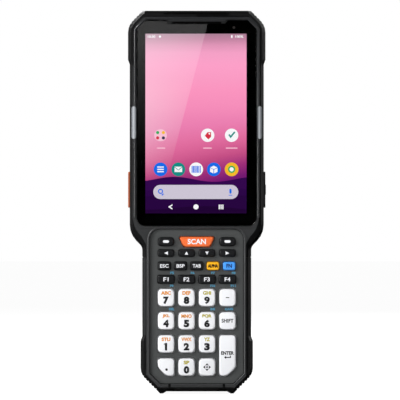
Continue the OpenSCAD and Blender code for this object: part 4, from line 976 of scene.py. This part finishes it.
# Light sensor in the border
sensor_glass = moulded("sensor_glass", rgb(92, 94, 100), 0.3, bump=0.0)
sensor = flat_shape(ring_of(0.75, 20), 19.4, 191.1, GLASS_BACK + 0.01, sensor_glass)
sensor.name = "light_sensor"
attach(sensor, "housing")


# ---- camera window on the back

def turned(name, x, z, profile, material):
    """Round piece that faces the back; the profile gives radius and depth of each step in millimetres."""
    leave_all()
    radius, depth = profile[0]
    bpy.ops.mesh.primitive_circle_add(vertices=40, radius=radius * MM, fill_type="NGON",
                                      location=(x * MM, depth * MM, z * MM), rotation=(math.radians(-90), 0, 0))
    piece = bpy.context.object
    piece.name = name
    settle(piece)
    edit_all(piece)
    for wide, deep in profile[1:]:
        bpy.ops.mesh.extrude_region_move(TRANSFORM_OT_translate={"value": (0, (deep - depth) * MM, 0)})
        bpy.ops.transform.resize(value=(wide / radius, 1, wide / radius))
        radius, depth = wide, deep
    face_out(piece)
    smooth(piece, 30)
    dress(piece, material)
    return piece


pane_low, pane_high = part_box("camera_window")
pane_z = (pane_low.z + pane_high.z) / 2 / MM
pane_back = pane_high.y / MM
LENS_X, FLASH_X = -3.0, 4.6
PANE_ROUND, PANE_RIM = 1.4, 0.2

lens_ring_metal = moulded("lens_ring_metal", rgb(96, 98, 102), 0.3, drift=0.05, Metallic=1.0)
lens_dark = moulded("lens_dark", rgb(14, 16, 34), 0.05, **POLISHED, Specular_IOR_Level=0.9)
flash_pale = moulded("flash_pale", rgb(214, 206, 168), 0.25, drift=0.1, size=5000, bump=0.1)

pane = block("camera_pane", (pane_low.x / MM, pane_low.y / MM, pane_low.z / MM),
             (pane_high.x / MM, pane_back, pane_high.z / MM))
edit(pane, "EDGE")
pick("EDGE", lambda e: abs(e.verts[0].co.y - e.verts[1].co.y) > 0.5 * MM)
bpy.ops.mesh.bevel(offset=PANE_ROUND * MM, segments=6, affect="EDGES")
pick("EDGE", lambda e: min(e.verts[0].co.y, e.verts[1].co.y) > pane_high.y - 0.01 * MM)
bpy.ops.mesh.bevel(offset=PANE_RIM * MM, segments=2, affect="EDGES")
bpy.ops.object.mode_set(mode="OBJECT")
smooth(pane, 30)
dress(pane, camera_lens)
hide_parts("camera_window")
# Round pieces on the pane: radius of each step, and how far it stands out from the back of the pane
round_pieces = [turned(name, x, pane_z, [(radius, pane_back + out) for radius, out in steps], material)
                for name, x, material, steps in (
    ("lens_ring", LENS_X, lens_ring_metal, ((3.5, -0.3), (3.5, 0.35), (3.35, 0.5), (2.75, 0.5), (2.6, 0.1))),
    ("lens_eye", LENS_X, lens_dark, ((2.58, -0.2), (2.58, 0.12), (2.1, 0.26), (1.5, 0.36), (0.8, 0.42), (0.1, 0.44))),
    ("flash_disc", FLASH_X, flash_pale, ((1.4, -0.2), (1.4, 0.08), (1.25, 0.15), (0.1, 0.2))))]
for piece in [pane] + round_pieces:
    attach(piece, "housing")


# ---- stage, light and camera

FLOOR_GLOW = 1.13        # strength and share of the glow that lifts the floor to white for the camera
FLOOR_SHARE = 0.8
WORLD_DIM = 0.4          # light of the surroundings on the object, against what the camera sees


def stage_material(name, colour, strength):
    """Material that only glows, with its tree and its Emission node."""
    material = bpy.data.materials.new(name)
    material.use_nodes = True
    tree = material.node_tree
    tree.nodes.clear()
    out = node(tree, "ShaderNodeOutputMaterial")
    glow = node(tree, "ShaderNodeEmission")
    glow.inputs["Color"].default_value = (*colour, 1)
    glow.inputs["Strength"].default_value = strength
    wire(tree, glow.outputs[0], out.inputs["Surface"])
    return material, tree, glow


def seen_by(tree, *rays):
    """1 for rays of any of the kinds that are named."""
    path = node(tree, "ShaderNodeLightPath")
    return any_of(tree, *[path.outputs[f"Is {ray} Ray"] for ray in rays])


leave_all()
bpy.ops.mesh.primitive_plane_add(size=12, location=(0, 0, 0))
floor = bpy.context.object
floor.name = "floor"
pale, tree, shader = new_material("pale_floor", Base_Color=(0.82, 0.82, 0.82, 1), Roughness=0.9,
                                  Specular_IOR_Level=0.1)
glow = node(tree, "ShaderNodeEmission")
glow.inputs["Strength"].default_value = FLOOR_GLOW
blend = node(tree, "ShaderNodeMixShader")
wire(tree, maths(tree, "MULTIPLY", seen_by(tree, "Camera", "Glossy"), FLOOR_SHARE), blend.inputs[0])
wire(tree, shader.outputs[0], blend.inputs[1])
wire(tree, glow.outputs[0], blend.inputs[2])
wire(tree, blend.outputs[0], tree.nodes["Material Output"].inputs["Surface"])
dress(floor, pale)

world = bpy.data.worlds.new("studio")
bpy.context.scene.world = world
world.use_nodes = True
tree = world.node_tree
back = tree.nodes["Background"]
back.inputs["Color"].default_value = (1, 1, 1, 1)
level = map_range(tree, seen_by(tree, "Camera", "Glossy", "Transmission"), 0.0, 1.0, WORLD_DIM, 1.0)
wire(tree, level, back.inputs["Strength"])

CAMERA_Y = -2800.0
CARD_Y = -3200.0
GLASS_Y = glass_low.y / MM
AIM_X, AIM_Z = 1.7, 101.1      # the camera looks straight at this point
HALF_VIEW = 104.36             # half the width of what it sees at the glass


def card_point(x, z):
    """Place on the card that the camera sees mirrored at a place on the glass."""
    reach = (GLASS_Y - CARD_Y) / (GLASS_Y - CAMERA_Y)
    return x + reach * (x - AIM_X), z + reach * (z - AIM_Z)


def reflected_only(piece, material):
    """Stage piece that only mirrors and the glass see."""
    dress(piece, material)
    piece.visible_camera = False
    piece.visible_diffuse = False
    piece.visible_shadow = False


# Dark hood round the front half, so that black finishes stay black
hood = block("dark_hood", (-3000, -3300, 0.5), (3000, 2600, 3000.5))
edit(hood)
pick("FACE", lambda f: f.normal.y > 0.9)
bpy.ops.mesh.delete(type="FACE")
end_edit()
reflected_only(hood, stage_material("hood_black", (0, 0, 0), 0)[0])

# Soft panel that the upper left of the glass mirrors; its glow grows with the height
CARD_LEFT, CARD_DOWN, CARD_UP = -240, 40.0, 420.0
FADE_LOW, FADE_HIGH = 0.12, 0.281
PANEL_GLOW = 0.57
top = card_point(*GLARE_TOP)
low = card_point(*GLARE_LOW)
slope = (top[0] - low[0]) / (top[1] - low[1])
panel = ring([(x, CARD_Y, z) for x, z in (
    (low[0] + slope * (CARD_DOWN - low[1]), CARD_DOWN), (low[0] + slope * (CARD_UP - low[1]), CARD_UP),
    (CARD_LEFT, CARD_UP), (CARD_LEFT, CARD_DOWN))])
panel.name = "soft_panel"
glow_panel, tree, glow = stage_material("panel_glow", (1, 1, 1), 1)
fade = map_range(tree, coordinates(tree)[2], FADE_LOW, FADE_HIGH)
wire(tree, maths(tree, "MULTIPLY", maths(tree, "POWER", fade, 2), PANEL_GLOW), glow.inputs["Strength"])
reflected_only(panel, glow_panel)

LAMP_AIM = (0, 0, 0.1)


def lamp(name, place, size, power):
    """Square area lamp that points at the middle of the object."""
    leave_all()
    bpy.ops.object.light_add(type="AREA", location=place)
    light = bpy.context.object
    light.name = name
    light.data.shape = "SQUARE"
    light.data.size = size
    light.data.energy = power
    direction = [a - p for a, p in zip(LAMP_AIM, place)]
    light.rotation_euler = Vector(direction).to_track_quat("-Z", "Y").to_euler()
    return light


lamp("key_lamp", (-1.2, -0.8, 0.9), 0.5, 18.0)
strip = lamp("strip_lamp", (-1.3, -0.55, 0.14), 0.16, 9.0)
strip.data.shape = "RECTANGLE"
strip.data.size_y = 0.6
lamp("fill_lamp", (0.9, -0.9, 0.5), 0.7, 1.5)
lamp("side_lamp", (0.85, 1.5, 0.6), 0.5, 18.0)
lamp("back_lamp", (-0.5, 1.3, 0.8), 0.5, 24.0)

bpy.ops.object.camera_add(location=(AIM_X * MM, CAMERA_Y * MM, AIM_Z * MM), rotation=(math.radians(90), 0, 0))
camera = bpy.context.object
camera.name = "camera"
camera.data.sensor_width = 36
camera.data.lens = camera.data.sensor_width / 2 * (GLASS_Y - CAMERA_Y) / HALF_VIEW
camera.data.clip_start = 0.01
camera.data.clip_end = 50
bpy.context.scene.camera = camera
bpy.context.scene.view_settings.view_transform = "Standard"

leave_all()
